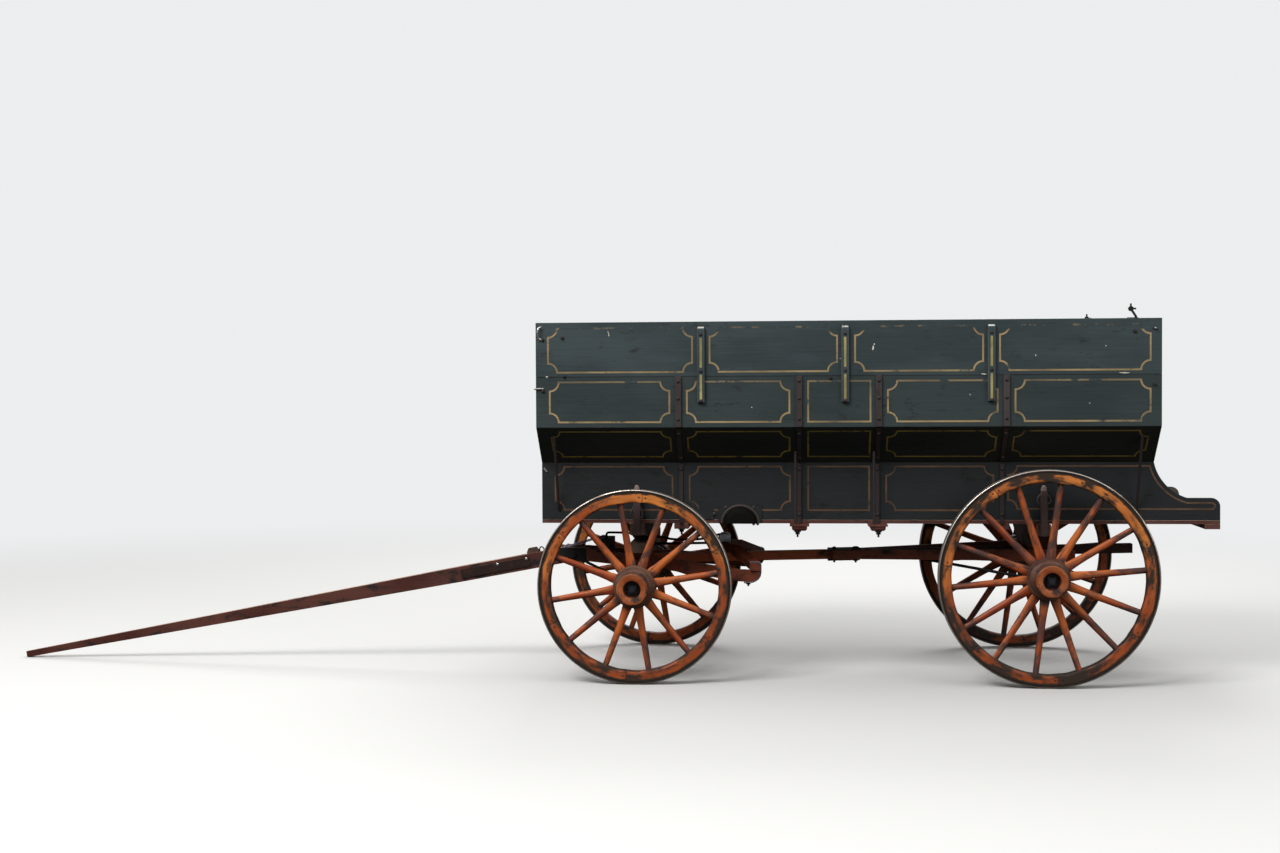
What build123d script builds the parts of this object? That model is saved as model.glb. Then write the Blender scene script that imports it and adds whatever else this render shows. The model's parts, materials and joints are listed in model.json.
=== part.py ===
from build123d import *
import math
import os

# Farm wagon with a flared, three-board box on a wooden running gear.
# Lengths are in millimetres. The tongue points to -X, the tail to +X, the wagon's left side is -Y, and +Z
# is up. While the pieces are drawn, X = 0 is the front axle and Z = 0 is the ground. Each piece is moved along
# X when it is written, so that the origin is on the ground at the middle of the whole length.

# Wheels
front_wheel_radius = 508.0
rear_wheel_radius = 559.0
wheelbase = 2122.0
track = 1422.0
tyre_width = 64.0
tyre_thickness = 12.0
felloe_depth = 57.0
felloe_width = 58.0
felloe_chamfer = 9.0
wheel_dish = 22.0
front_spoke_count = 12
rear_spoke_count = 14
front_spoke_turn = 20.5
rear_spoke_turn = 7.5
spoke_hub_width = 50.0
spoke_hub_thickness = 36.0
spoke_waist_width = 37.0
spoke_waist_thickness = 30.0
spoke_rim_diameter = 33.0
spoke_flat_share = 0.42
spoke_waist_share = 0.4
spoke_let_in = 8.0

# Hubs, measured along the axle from the wheel's middle plane, outwards positive
hub_seat_radius = 111.0
hub_seat_width = 80.0
hub_nose_radius = 77.0
hub_nose_length = 152.0
hub_back_radius = 88.0
hub_back_length = 130.0
hub_band_width = 24.0
hub_band_height = 4.0
hub_mouth_radius = 46.0
hub_mouth_depth = 58.0
arm_root_radius = 40.0
arm_tip_radius = 26.0
arm_clearance = 0.5
arm_end_play = 2.0
collar_radius = 60.0
collar_thickness = 14.0
collar_gap = 5.0
socket_length = 40.0
axle_nut_across = 42.0
axle_nut_thickness = 24.0
axle_washer_radius = 38.0
axle_washer_thickness = 4.0
axle_thread_radius = 15.0
axle_thread_end = 9.0

# Axles, bolsters and the stack between the front axle and the box
axle_height = 100.0
axle_width = 90.0
hound_height = 62.0
hound_width = 48.0
sand_board_height = 99.0
sand_board_width = 84.0
sand_board_length = 1010.0
sand_board_end_rise = 44.0
sand_board_end_taper = 89.0
wear_plate_thickness = 8.0
wear_plate_length = 260.0
wear_plate_gap = 0.5
bolster_height = 88.0
bolster_width = 76.0
bolster_end_height = 60.0
bolster_overhang = 34.0
bolster_taper_length = 250.0
stake_width = 36.0
stake_thickness = 16.0
stake_tip_thickness = 10.0
stake_height = 176.0
stake_foot_height = 62.0
king_pin_radius = 12.5
king_pin_clearance = 1.0
king_pin_drop = 30.0
king_pin_head_radius = 24.0
king_pin_head_height = 10.0
fit_gap = 0.2

# How far a shape that cuts a piece stands out past it
overreach = 1.0

# Reach and rear hounds
reach_height = 50.0
reach_width = 60.0
reach_rise = 51.0
reach_front_length = 62.0
reach_tail_length = 546.0
reach_tail_hole_radius = 11.0
coupling_start = 1012.0
coupling_length = 177.0
coupling_plate_thickness = 5.0
rear_hound_start = 26.0
rear_hound_tail = 190.0
rear_hound_spread = 330.0
brace_rod_radius = 8.0
brace_rod_start = 1485.0
brace_rod_inset = 18.0
brace_rod_spread = 483.0
brace_rod_drop = 75.0

# Front hounds, sway bar and tongue
hound_jaw_front = 500.0
hound_jaw_length = 170.0
hound_jaw_height = 74.0
hound_jaw_rise = 26.0
hound_tail = 650.0
hound_tail_drop = 54.0
hound_tail_seat = 110.0
hound_tail_spread = 430.0
hound_tail_edge = 12.0
hound_tail_round = 60.0
hound_brace_start = 347.0
hound_brace_inset = 16.0
hound_brace_spread = 426.0
hound_brace_drop = 70.0
hound_tie_place = 226.0
hound_tie_width = 78.0
hound_tie_length = 250.0
hound_tie_bottom = 630.0
hound_tie_top = 702.0
jaw_iron_thickness = 6.0
sway_bar_width = 56.0
sway_bar_height = 42.0
sway_bar_middle = 440.0
sway_bar_bend = 60.0
sway_bar_flat = 180.0
sway_bar_clearance = 6.0
sway_bar_end_round = 16.0
sway_crown_height = 50.0
sway_crown_length = 76.0
sway_crown_round = 21.0
sway_cap_thickness = 5.0
sway_cap_foot = 88.0
sway_cap_width = 43.0
tongue_width = 64.0
tongue_side_gap = 8.0
tongue_depth = 86.0
tongue_tip_depth = 34.0
tongue_tip_width = 40.0
tongue_length = 3320.0
tongue_heel = 66.0
tongue_pin_setback = 95.0
tongue_pin_radius = 11.0
tongue_pin_clearance = 1.0
tongue_bolt_head_radius = 20.0
tongue_bolt_head_height = 11.0
tongue_strap_start = 158.0
tongue_strap_length = 400.0
tongue_strap_height = 52.0
tongue_strap_thickness = 5.0
hammer_strap_place = 229.0
hammer_strap_length = 68.0
hammer_strap_height = 30.0
hammer_strap_foot = 10.0
hammer_strap_slope = 12.0
hammer_strap_width = 38.0
evener_hole_radius = 11.5
evener_hole_ahead = 60.0

# Box
box_length = 3200.0
box_front_overhang = 512.0
box_floor_width = 1016.0
board_thickness = 22.0
floor_thickness = 20.0
floor_board_count = 6
floor_board_gap = 1.5
lower_board_height = 302.0
flare_rise = 192.0
flare_overhang = 202.0
second_board_height = 264.0
top_board_height = 284.0
wing_length = 336.0
wing_flat_height = 116.0
wing_flat_start = 171.0
wing_nose_radius = 44.0
wing_sweep_share = 0.36
rib_width = 32.0
rib_thickness = 12.0
strip_width = 22.0
strip_thickness = 8.0
top_cleat_width = 40.0
top_cleat_thickness = 18.0
top_cleat_length = 395.0
top_cleat_drop = 25.0
top_cleat_chamfer = 12.0
sill_height = 33.0
sill_width = 102.0
sill_cap_height = 9.0
sill_body_width = 80.0
sill_body_setback = 6.0
sill_round = 15.0
sill_overhang = 92.0
plain_sill_width = 76.0
plain_sill_height = 30.0
tail_cleat_width = 78.0
tail_cleat_height = 26.0
flare_rod_radius = 7.0
flare_rod_inset = 20.0
flare_rod_gap = 3.0
end_brace_inset = 90.0
end_brace_foot = 54.0
end_brace_head_inset = 45.0
end_brace_foot_gap = 0.35
end_brace_head_gap = 11.2
end_brace_head_drop = 4.2
rub_iron_place = 546.0
rub_iron_radius = 92.0
rub_iron_shoulder_radius = 79.0
rub_iron_shoulder_depth = 24.0
rub_iron_crown_radius = 48.0
rub_iron_depth = 34.0
rub_iron_flange = 230.0
rub_iron_flange_height = 98.0
rub_iron_flange_thickness = 5.0
wear_strap_length = 104.0
wear_strap_height = 56.0
wear_strap_gap = 26.0
end_board_inset = 30.0
end_board_groove = 4.0
rim_hook_inset = 114.0
rim_hook_strap_width = 56.0
rim_hook_strap_thickness = 4.0
rim_hook_strap_length = 70.0
rim_hook_strap_rise = 4.0
rim_hook_neck_rise = 10.0
rim_hook_lean = 26.0
rim_hook_shank_height = 48.0
rim_hook_shank_radius = 6.0
rim_hook_eye_radius = 13.0
rim_hook_eye_width = 14.0
rim_hook_prong = 26.0
rim_hook_prong_radius = 4.5

# Tail gate
gate_side_gap = 6.0
gate_floor_gap = 6.0
gate_top_gap = 8.0
gate_hinge_radius = 8.0
gate_pin_radius = 4.0
gate_strap_width = 42.0
gate_strap_thickness = 5.0
gate_strap_place = 330.0
gate_strap_drop = 18.0
gate_lug_width = 12.0
gate_lug_foot = 16.0
gate_lug_gap = 2.0
gate_lug_play = 0.5

# Ribs on the sides, each over a cross sill, and the top board's cleats
rib_behind_front_axle = 233.0
middle_rib_ahead = 203.0
middle_rib_behind = 205.0
rib_ahead_of_rear_axle = 210.0
cleat_behind_first_rib = 119.0
middle_cleat_shift = 32.0
cleat_ahead_of_last_rib = 76.0

# Heights and places worked out from the driving dimensions
front_axle_z = front_wheel_radius
rear_axle_z = rear_wheel_radius
front_axle_top = front_axle_z + axle_height / 2
sand_board_bottom = front_axle_top + hound_height
sand_board_top = sand_board_bottom + sand_board_height
lower_plate_top = sand_board_top + wear_plate_thickness
upper_plate_bottom = lower_plate_top + wear_plate_gap
bolster_bottom = upper_plate_bottom + wear_plate_thickness
bolster_top = bolster_bottom + bolster_height
floor_bottom = bolster_top
floor_top = floor_bottom + floor_thickness
flare_bottom = floor_top + lower_board_height
flare_top = flare_bottom + flare_rise
second_top = flare_top + second_board_height
box_top = second_top + top_board_height
rear_axle_top = rear_axle_z + axle_height / 2
rear_bolster_bottom = rear_axle_top + hound_height

box_front = -box_front_overhang
box_rear = box_front + box_length
box_tail = box_rear + wing_length
floor_half = box_floor_width / 2
wide_half = floor_half + flare_overhang

# Ribs, from front to rear: place behind the front axle, and whether its cross sill is a moulded one
ribs_and_sills = [
    (rib_behind_front_axle, False),
    (wheelbase / 2 - middle_rib_ahead, True),
    (wheelbase / 2 + middle_rib_behind, True),
    (wheelbase - rib_ahead_of_rear_axle, False),
]
first_rib, second_rib, third_rib, last_rib = [place for place, _ in ribs_and_sills]
top_cleat_places = [
    first_rib + cleat_behind_first_rib,
    (second_rib + third_rib) / 2 + middle_cleat_shift,
    last_rib - cleat_ahead_of_last_rib,
]

reach_slope = reach_rise / wheelbase
reach_level = front_axle_top + hound_height / 2

tongue_pin_x = -hound_jaw_front + tongue_pin_setback
sway_middle_z = reach_level + reach_slope * hound_tail + reach_height / 2 + sway_bar_clearance
jaw_centre_z = front_axle_top + hound_height / 2 + hound_jaw_rise
tongue_reach = tongue_length - tongue_heel
strap_start = hound_jaw_front + tongue_pin_x + tongue_strap_start
strap_end = strap_start + tongue_strap_length
tongue_droop = math.asin(jaw_centre_z / math.hypot(tongue_reach, tongue_tip_depth / 2)) - math.atan2(
    tongue_tip_depth / 2, tongue_reach
)
tongue_tip_x = (
    tongue_pin_x - tongue_reach * math.cos(tongue_droop) - tongue_tip_depth / 2 * math.sin(tongue_droop)
)
middle_x = (tongue_tip_x + box_tail) / 2

jaw_inner = tongue_width / 2 + tongue_side_gap
spoke_seat = -wheel_dish
collar_place = -hub_back_length - collar_gap
axle_end = track / 2 + collar_place - collar_thickness - socket_length
nut_place = hub_nose_length - hub_mouth_depth + arm_end_play
gate_hinge_x = box_rear + gate_hinge_radius
gate_hinge_z = floor_top + gate_floor_gap + gate_hinge_radius
gate_front = box_rear - board_thickness


def reach_z(x):
    """Height of the reach's middle line: it climbs evenly from the front axle to the rear one."""
    return reach_level + reach_slope * x


def block(x, y, z):
    """Plain block between two X faces, two Y faces and two Z faces."""
    size = (x[1] - x[0], y[1] - y[0], z[1] - z[0])
    centre = ((x[0] + x[1]) / 2, (y[0] + y[1]) / 2, (z[0] + z[1]) / 2)
    return Pos(*centre) * Box(*size)


def cut_from_side(outline, y):
    """Piece with an outline of (x, z) points, between two Y faces."""
    wire = Polyline(*[(px, y[0], pz) for px, pz in outline], close=True)
    return extrude(make_face(wire), y[1] - y[0], dir=(0, 1, 0))


def cut_from_top(outline, z):
    """Piece with an outline of (x, y) points, between two Z faces."""
    wire = Polyline(*[(px, py, z[0]) for px, py in outline], close=True)
    return extrude(make_face(wire), z[1] - z[0], dir=(0, 0, 1))


def cut_from_end(outline, x):
    """Piece with an outline of (y, z) points, between two X faces."""
    wire = Polyline(*[(x[0], py, pz) for py, pz in outline], close=True)
    return extrude(make_face(wire), x[1] - x[0], dir=(1, 0, 0))


def rounded(start, corner, end, steps=5):
    """Points of a quarter round from a place on one edge to a place on the next, instead of the corner."""
    points = []
    for i in range(steps + 1):
        turn = math.pi / 2 * i / steps
        near = 1 - math.sin(turn)
        far = 1 - math.cos(turn)
        points.append(tuple(c + (s - c) * near + (e - c) * far for s, c, e in zip(start, corner, end)))
    return points


def rod(start, end, radius):
    """Round rod between two points."""
    along = Vector(*end) - Vector(*start)
    return Plane(origin=start, z_dir=along) * Cylinder(
        radius, along.length, align=(Align.CENTER, Align.CENTER, Align.MIN)
    )


def upright_pin(x, y, z, radius):
    """Upright round pin between two heights."""
    return rod((x, y, z[0]), (x, y, z[1]), radius)


def cross_pin(x, z, y, radius):
    """Round pin that runs across the wagon between two Y places."""
    return rod((x, y[0], z), (x, y[1], z), radius)


def turned(profile, centre_x, centre_z):
    """Turned piece round a wheel's axis. Its profile is (place out from the wheel's middle plane, radius)."""
    wire = Polyline(*[(centre_x, -track / 2 - out, centre_z + radius) for out, radius in profile], close=True)
    return revolve(make_face(wire), Axis((centre_x, 0, centre_z), (0, 1, 0)), 360)


def both_sides(piece):
    """A left piece and its mirror image on the right."""
    return [piece, mirror(piece, about=Plane.XZ)]


def write(node, pieces):
    """Write one node's solids, moved so that the origin is at the middle of the wagon's length."""
    solids = pieces if isinstance(pieces, list) else [pieces]
    moved = [Pos(-middle_x, 0, 0) * solid for piece in solids for solid in piece.solids()]
    export_step(moved[0] if len(moved) == 1 else Compound(moved), f"parts/{node}.step")


def hub(x, z):
    """Turned wooden hub with its iron bands, a tapered bore for the axle arm and a mouth for the nut."""
    seat_in = spoke_seat - hub_seat_width / 2
    seat_out = spoke_seat + hub_seat_width / 2
    back_band = hub_back_radius + hub_band_height
    nose_band = hub_nose_radius + hub_band_height
    bore_in = arm_root_radius + arm_clearance
    bore_out = arm_tip_radius + arm_clearance
    shoulder = seat_out + hub_seat_radius - hub_nose_radius
    profile = [
        (-hub_back_length, bore_in),
        (-hub_back_length, back_band),
        (-hub_back_length + hub_band_width, back_band),
        (-hub_back_length + hub_band_width, hub_back_radius),
        (seat_in - hub_band_width / 2, hub_seat_radius - hub_band_height),
        (seat_in, hub_seat_radius),
        (seat_out, hub_seat_radius),
        (seat_out + hub_band_width / 2, hub_seat_radius - hub_band_height),
        (shoulder, hub_nose_radius + hub_band_height * 2),
        (hub_nose_length - hub_band_width, hub_nose_radius),
        (hub_nose_length - hub_band_width, nose_band),
        (hub_nose_length, nose_band),
        (hub_nose_length, hub_mouth_radius),
        (hub_nose_length - hub_mouth_depth, hub_mouth_radius),
        (hub_nose_length - hub_mouth_depth, bore_out),
    ]
    return turned(profile, x, z)


def spoke_section(radius, width, thickness, out):
    """Eight-sided section of a spoke that points up, at a distance from the wheel's axis."""
    w = width / 2
    t = thickness / 2
    flat = spoke_flat_share
    points = [
        (w, t * flat),
        (w * flat, t),
        (-w * flat, t),
        (-w, t * flat),
        (-w, -t * flat),
        (-w * flat, -t),
        (w * flat, -t),
        (w, -t * flat),
    ]
    return make_face(Polyline(*[(px, -out + py, radius) for px, py in points], close=True))


def spokes(wheel_radius, count, first_turn, x, z):
    """Tapered spokes that lean out from the hub to the felloe, which gives the wheel its dish."""
    rim_radius = wheel_radius - tyre_thickness - felloe_depth
    waist_radius = hub_seat_radius + (rim_radius - hub_seat_radius) * spoke_waist_share
    lean = wheel_dish * spoke_waist_share
    sections = [
        spoke_section(hub_seat_radius - spoke_let_in, spoke_hub_width, spoke_hub_thickness, spoke_seat),
        spoke_section(waist_radius, spoke_waist_width, spoke_waist_thickness, spoke_seat + lean),
        spoke_section(rim_radius + spoke_let_in, spoke_rim_diameter, spoke_rim_diameter, 0),
    ]
    spoke = loft(sections, ruled=True)
    across = Rot(90, 0, 0)
    ring = across * (Cylinder(rim_radius, track / 2) - Cylinder(hub_seat_radius, track / 2))
    spoke = spoke & ring
    return [Pos(x, -track / 2, z) * Rot(0, first_turn + 360 / count * i, 0) * spoke for i in range(count)]


def felloe(wheel_radius, x, z):
    """Wooden rim with chamfered inner edges."""
    outer = wheel_radius - tyre_thickness
    inner = outer - felloe_depth
    half = felloe_width / 2
    profile = [
        (-half, outer),
        (-half, inner + felloe_chamfer),
        (-half + felloe_chamfer, inner),
        (half - felloe_chamfer, inner),
        (half, inner + felloe_chamfer),
        (half, outer),
    ]
    return turned(profile, x, z)


def rim(wheel_radius, count, first_turn, x, z):
    """Felloe with its spokes let into it."""
    return Part() + [felloe(wheel_radius, x, z), *spokes(wheel_radius, count, first_turn, x, z)]


def tyre(wheel_radius, x, z):
    """Flat iron tyre shrunk on the felloe."""
    half = tyre_width / 2
    inner = wheel_radius - tyre_thickness
    profile = [(-half, inner), (-half, wheel_radius), (half, wheel_radius), (half, inner)]
    return turned(profile, x, z)


def skein(x, z):
    """Cast axle arm: a socket on the axle's end, a collar, the tapered arm, its washer and its square nut."""
    arm_end = nut_place
    socket = collar_place - collar_thickness - socket_length
    profile = [
        (socket, 0),
        (socket, collar_radius - hub_band_height),
        (collar_place - collar_thickness, collar_radius - hub_band_height * 2),
        (collar_place - collar_thickness, collar_radius),
        (collar_place, collar_radius),
        (collar_place, arm_root_radius),
        (arm_end, arm_tip_radius),
        (arm_end, axle_washer_radius),
        (arm_end + axle_washer_thickness, axle_washer_radius),
        (arm_end + axle_washer_thickness, axle_thread_radius),
        (arm_end + axle_washer_thickness + axle_nut_thickness + axle_thread_end, axle_thread_radius),
        (arm_end + axle_washer_thickness + axle_nut_thickness + axle_thread_end, 0),
    ]
    nut_in = track / 2 + arm_end + axle_washer_thickness
    half = axle_nut_across / 2
    nut = block((x - half, x + half), (-nut_in - axle_nut_thickness, -nut_in), (z - half, z + half))
    return turned(profile, x, z) + nut


def front_axle():
    """Wooden axle bed of the front gear, bored for the king pin."""
    bed = block(
        (-axle_width / 2, axle_width / 2),
        (-axle_end, axle_end),
        (front_axle_top - axle_height, front_axle_top),
    )
    bore = upright_pin(
        0,
        0,
        (front_axle_top - axle_height - overreach, front_axle_top + overreach),
        king_pin_radius + king_pin_clearance,
    )
    return bed - bore


def rear_axle():
    """Wooden axle bed under the rear bolster."""
    return block(
        (wheelbase - axle_width / 2, wheelbase + axle_width / 2),
        (-axle_end, axle_end),
        (rear_axle_top - axle_height, rear_axle_top),
    )


def sand_board():
    """Board on the front hounds that carries the lower wear plate."""
    half = sand_board_length / 2
    outline = [
        (-half, sand_board_bottom + sand_board_end_rise),
        (-half + sand_board_end_taper, sand_board_bottom),
        (half - sand_board_end_taper, sand_board_bottom),
        (half, sand_board_bottom + sand_board_end_rise),
        (half, sand_board_top),
        (-half, sand_board_top),
    ]
    board = cut_from_end(outline, (-sand_board_width / 2, sand_board_width / 2))
    reach_through = (sand_board_bottom - overreach, sand_board_top + overreach)
    return board - upright_pin(0, 0, reach_through, king_pin_radius + king_pin_clearance)


def wear_plate(bottom, bore_radius):
    """Iron plate on which the bolster turns."""
    plate = block(
        (-sand_board_width / 2, sand_board_width / 2),
        (-wear_plate_length / 2, wear_plate_length / 2),
        (bottom, bottom + wear_plate_thickness),
    )
    return plate - upright_pin(
        0, 0, (bottom - overreach, bottom + wear_plate_thickness + overreach), bore_radius
    )


def bolster(x, bottom):
    """Wooden cross beam under the floor, shallower at its ends."""
    half = floor_half + bolster_overhang
    end_bottom = bolster_top - bolster_end_height
    outline = [
        (-half, end_bottom),
        (-half + bolster_taper_length, bottom),
        (half - bolster_taper_length, bottom),
        (half, end_bottom),
        (half, bolster_top),
        (-half, bolster_top),
    ]
    return cut_from_end(outline, (x - bolster_width / 2, x + bolster_width / 2))


def front_bolster():
    """Front bolster, bored and sunk for the king pin and its head."""
    beam = bolster(0, bolster_bottom)
    beam -= upright_pin(
        0, 0, (bolster_bottom - overreach, bolster_top + overreach), king_pin_radius + fit_gap
    )
    sink = bolster_top - king_pin_head_height
    return beam - upright_pin(0, 0, (sink, bolster_top + overreach), king_pin_head_radius + fit_gap)


def king_pin():
    """Pin through bolster, sand board, reach and axle, about which the front gear steers."""
    tip = front_axle_top - axle_height - king_pin_drop
    shank = upright_pin(0, 0, (tip, bolster_top), king_pin_radius)
    return shank + upright_pin(0, 0, (bolster_top - king_pin_head_height, bolster_top), king_pin_head_radius)


def stake(x):
    """Iron stake that stands on a bolster's end and holds the box from the side."""
    inner = floor_half + bolster_overhang
    foot = block(
        (x - stake_width / 2, x + stake_width / 2),
        (-inner - stake_thickness, -inner),
        (bolster_top - stake_foot_height, bolster_top),
    )
    top = bolster_top + stake_height
    outline = [
        (-inner - stake_thickness, bolster_top),
        (-inner, bolster_top),
        (-inner, top),
        (-inner - stake_tip_thickness, top),
    ]
    return foot + cut_from_end(outline, (x - stake_width / 2, x + stake_width / 2))


def tail_curve(stand_off):
    """Rounded rear end of a front hound as (x, z) points from above, or of an iron that far off it."""
    tail = hound_tail + stand_off
    top = sand_board_bottom - hound_tail_drop
    bottom = top - hound_height - stand_off
    return rounded((tail, top - hound_tail_edge), (tail, bottom), (hound_tail - hound_tail_round, bottom))


def front_hound():
    """Left front hound: a jaw for the tongue, a seat under the sand board, then out and down to the tail."""
    jaw_rear = -hound_jaw_front + hound_jaw_length
    out = hound_width
    plan = [
        (-hound_jaw_front, -jaw_inner),
        (jaw_rear, -jaw_inner),
        (hound_tail, -hound_tail_spread + out / 2),
        (hound_tail, -hound_tail_spread - out / 2),
        (jaw_rear, -jaw_inner - out),
        (-hound_jaw_front, -jaw_inner - out),
    ]
    seat = axle_width / 2
    jaw_top = jaw_centre_z + hound_jaw_height / 2
    jaw_bottom = jaw_centre_z - hound_jaw_height / 2
    tail_top = sand_board_bottom - hound_tail_drop
    tail_bottom = tail_top - hound_height
    side = [
        (-hound_jaw_front, jaw_top),
        (jaw_rear, jaw_top),
        (-seat, sand_board_bottom),
        (seat, sand_board_bottom),
        (hound_tail - hound_tail_seat, tail_top),
        (hound_tail, tail_top),
        *tail_curve(0),
        (hound_tail - hound_tail_seat, tail_bottom),
        (seat, front_axle_top),
        (-seat, front_axle_top),
        (jaw_rear, jaw_bottom),
        (-hound_jaw_front, jaw_bottom),
    ]
    tall = cut_from_top(plan, (tail_bottom - overreach, jaw_top + overreach))
    piece = tall & cut_from_side(side, (-hound_tail_spread - out, 0))
    return piece - cross_pin(
        tongue_pin_x,
        jaw_centre_z,
        (-jaw_inner - out - overreach, -jaw_inner + overreach),
        tongue_pin_radius + fit_gap,
    )


def hound_tie():
    """Block notched over both hounds behind the jaws, which ties them together."""
    near = -hound_tie_place - hound_tie_width / 2
    half = hound_tie_length / 2
    piece = block((near, near + hound_tie_width), (-half, half), (hound_tie_bottom, hound_tie_top))
    return piece - front_hound() - mirror(front_hound(), about=Plane.XZ)


def jaw_iron():
    """Left iron plate on the outer face of the jaw, bored for the tongue bolt."""
    outer = -jaw_inner - hound_width
    plate = block(
        (-hound_jaw_front, -hound_jaw_front + hound_jaw_length),
        (outer - jaw_iron_thickness, outer),
        (jaw_centre_z - hound_jaw_height / 2, jaw_centre_z + hound_jaw_height / 2),
    )
    return plate - cross_pin(
        tongue_pin_x,
        jaw_centre_z,
        (outer - jaw_iron_thickness - overreach, outer + overreach),
        tongue_pin_radius + fit_gap,
    )


def tongue_bolt():
    """Bolt across the jaws, on which the tongue swings, with a head at each end."""
    half = jaw_inner + hound_width + jaw_iron_thickness
    end = half + tongue_bolt_head_height
    bolt = cross_pin(tongue_pin_x, jaw_centre_z, (-end, end), tongue_pin_radius)
    for y in ((-end, -half), (half, end)):
        bolt += cross_pin(tongue_pin_x, jaw_centre_z, y, tongue_bolt_head_radius)
    return bolt


def sway_crown(stand_off):
    """Outline of the crown on the sway bar's middle as (x, z) points, or of an iron that far off it."""
    half = sway_bar_width / 2 + stand_off
    high = sway_middle_z + sway_bar_height + sway_crown_height + stand_off
    curve = sway_crown_round + stand_off
    left = sway_bar_middle - half
    right = sway_bar_middle + half
    over = rounded((left, high - curve), (left, high), (left + curve, high))
    over += rounded((right - curve, high), (right, high), (right, high - curve))
    foot = sway_middle_z + sway_bar_height
    return [(left, foot), *over, (right, foot)]


def sway_bar():
    """Bar over the reach from hound tail to hound tail, crowned in the middle and bent back to its ends."""
    half = hound_tail_spread + hound_width / 2
    seat = sand_board_bottom - hound_tail_drop
    fore = sway_bar_width / 2
    plan = [
        (sway_bar_middle - fore, -sway_bar_bend),
        (hound_tail - sway_bar_width, -half + hound_width),
        (hound_tail - sway_bar_width, -half),
        (hound_tail, -half),
        (hound_tail, -half + hound_width),
        (sway_bar_middle + fore, -sway_bar_bend),
    ]
    plan += [(px, -py) for px, py in reversed(plan)]
    low = [(-half, seat), (-half + hound_width, seat), (-sway_bar_flat, sway_middle_z)]
    low += [(-py, pz) for py, pz in reversed(low)]
    high = [(py, pz + sway_bar_height) for py, pz in reversed(low)]
    tall = cut_from_top(plan, (seat - overreach, sway_middle_z + sway_bar_height + overreach))
    bar = tall & cut_from_end(low + high, (sway_bar_middle - sway_bar_width, hound_tail + overreach))
    top = seat + sway_bar_height
    curve = sway_bar_end_round
    corner = rounded((hound_tail - curve, top), (hound_tail, top), (hound_tail, top - curve))
    corner += [(hound_tail + overreach, top - curve), (hound_tail + overreach, top + overreach)]
    corner += [(hound_tail - curve, top + overreach)]
    for y in ((-half - overreach, -half + hound_width), (half - hound_width, half + overreach)):
        bar -= cut_from_side(corner, y)
    return bar + cut_from_side(sway_crown(0), (-sway_crown_length / 2, sway_crown_length / 2))


def sway_cap():
    """Left iron strap bent round the ends of the sway bar and the hound tail."""
    seat = sand_board_bottom - hound_tail_drop
    top = seat + sway_bar_height
    bottom = seat - hound_height
    tail = hound_tail
    t = sway_cap_thickness
    inner = sway_bar_end_round
    outer = inner + t
    outline = [
        (tail - sway_bar_width, top),
        *rounded((tail - inner, top), (tail, top), (tail, top - inner)),
        *tail_curve(0),
        (tail - sway_cap_foot, bottom),
        (tail - sway_cap_foot, bottom - t),
        *reversed(tail_curve(t)),
        *rounded((tail + t, top + t - outer), (tail + t, top + t), (tail + t - outer, top + t)),
        (tail - sway_bar_width, top + t),
    ]
    half = hound_tail_spread + hound_width / 2
    return cut_from_side(outline, (-half, -half + sway_cap_width))


def sway_crown_iron():
    """Iron shoe bent over the crown of the sway bar."""
    half = sway_crown_length / 2
    return cut_from_side(sway_crown(sway_cap_thickness) + sway_crown(0)[::-1], (-half, half))


def hound_brace():
    """Left rod from the jaw's underside back to the front axle's lower front edge."""
    jaw_foot = jaw_centre_z - hound_jaw_height / 2
    start = (-hound_brace_start, -jaw_inner - hound_brace_inset, jaw_foot)
    end = (-axle_width / 2, -hound_brace_spread, front_axle_top - hound_brace_drop)
    return rod(start, end, brace_rod_radius) - front_hound() - front_axle()


def reach():
    """Pole that joins the gears, from the king pin to behind the rear axle, with a hole in its tail."""
    front = -reach_front_length
    tail = wheelbase + reach_tail_length
    half = reach_height / 2
    outline = [
        (front, reach_z(front) - half),
        (tail, reach_z(tail) - half),
        (tail, reach_z(tail) + half),
        (front, reach_z(front) + half),
    ]
    pole = cut_from_side(outline, (-reach_width / 2, reach_width / 2))
    around = (reach_level - reach_height, reach_level + reach_height)
    pole -= upright_pin(0, 0, around, king_pin_radius + fit_gap)
    hole_x = tail - reach_width
    hole_z = reach_z(hole_x)
    around = (hole_z - reach_height, hole_z + reach_height)
    return pole - upright_pin(hole_x, 0, around, reach_tail_hole_radius)


def rear_hound():
    """Left rear hound, from the coupling on the reach out to its seat between the rear axle and bolster."""
    start = coupling_start + rear_hound_start
    end = wheelbase + rear_hound_tail
    inner = reach_width / 2
    spread = rear_hound_spread
    parallel = coupling_start + coupling_length
    plan = [
        (start, -inner),
        (parallel, -inner),
        (end, -spread + hound_width / 2),
        (end, -spread - hound_width / 2),
        (parallel, -inner - hound_width),
        (start, -inner - hound_width),
    ]
    seat = axle_width / 2
    half = reach_height / 2
    side = [
        (start, reach_z(start) - half),
        (parallel, reach_z(parallel) - half),
        (wheelbase - seat, rear_axle_top),
        (wheelbase + seat, rear_axle_top),
        (end, rear_axle_top),
        (end, rear_bolster_bottom),
        (wheelbase + seat, rear_bolster_bottom),
        (wheelbase - seat, rear_bolster_bottom),
        (parallel, reach_z(parallel) + half),
        (start, reach_z(start) + half),
    ]
    tall = cut_from_top(plan, (reach_z(start) - reach_height, rear_bolster_bottom + overreach))
    return tall & cut_from_side(side, (-spread - hound_width, 0))


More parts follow.
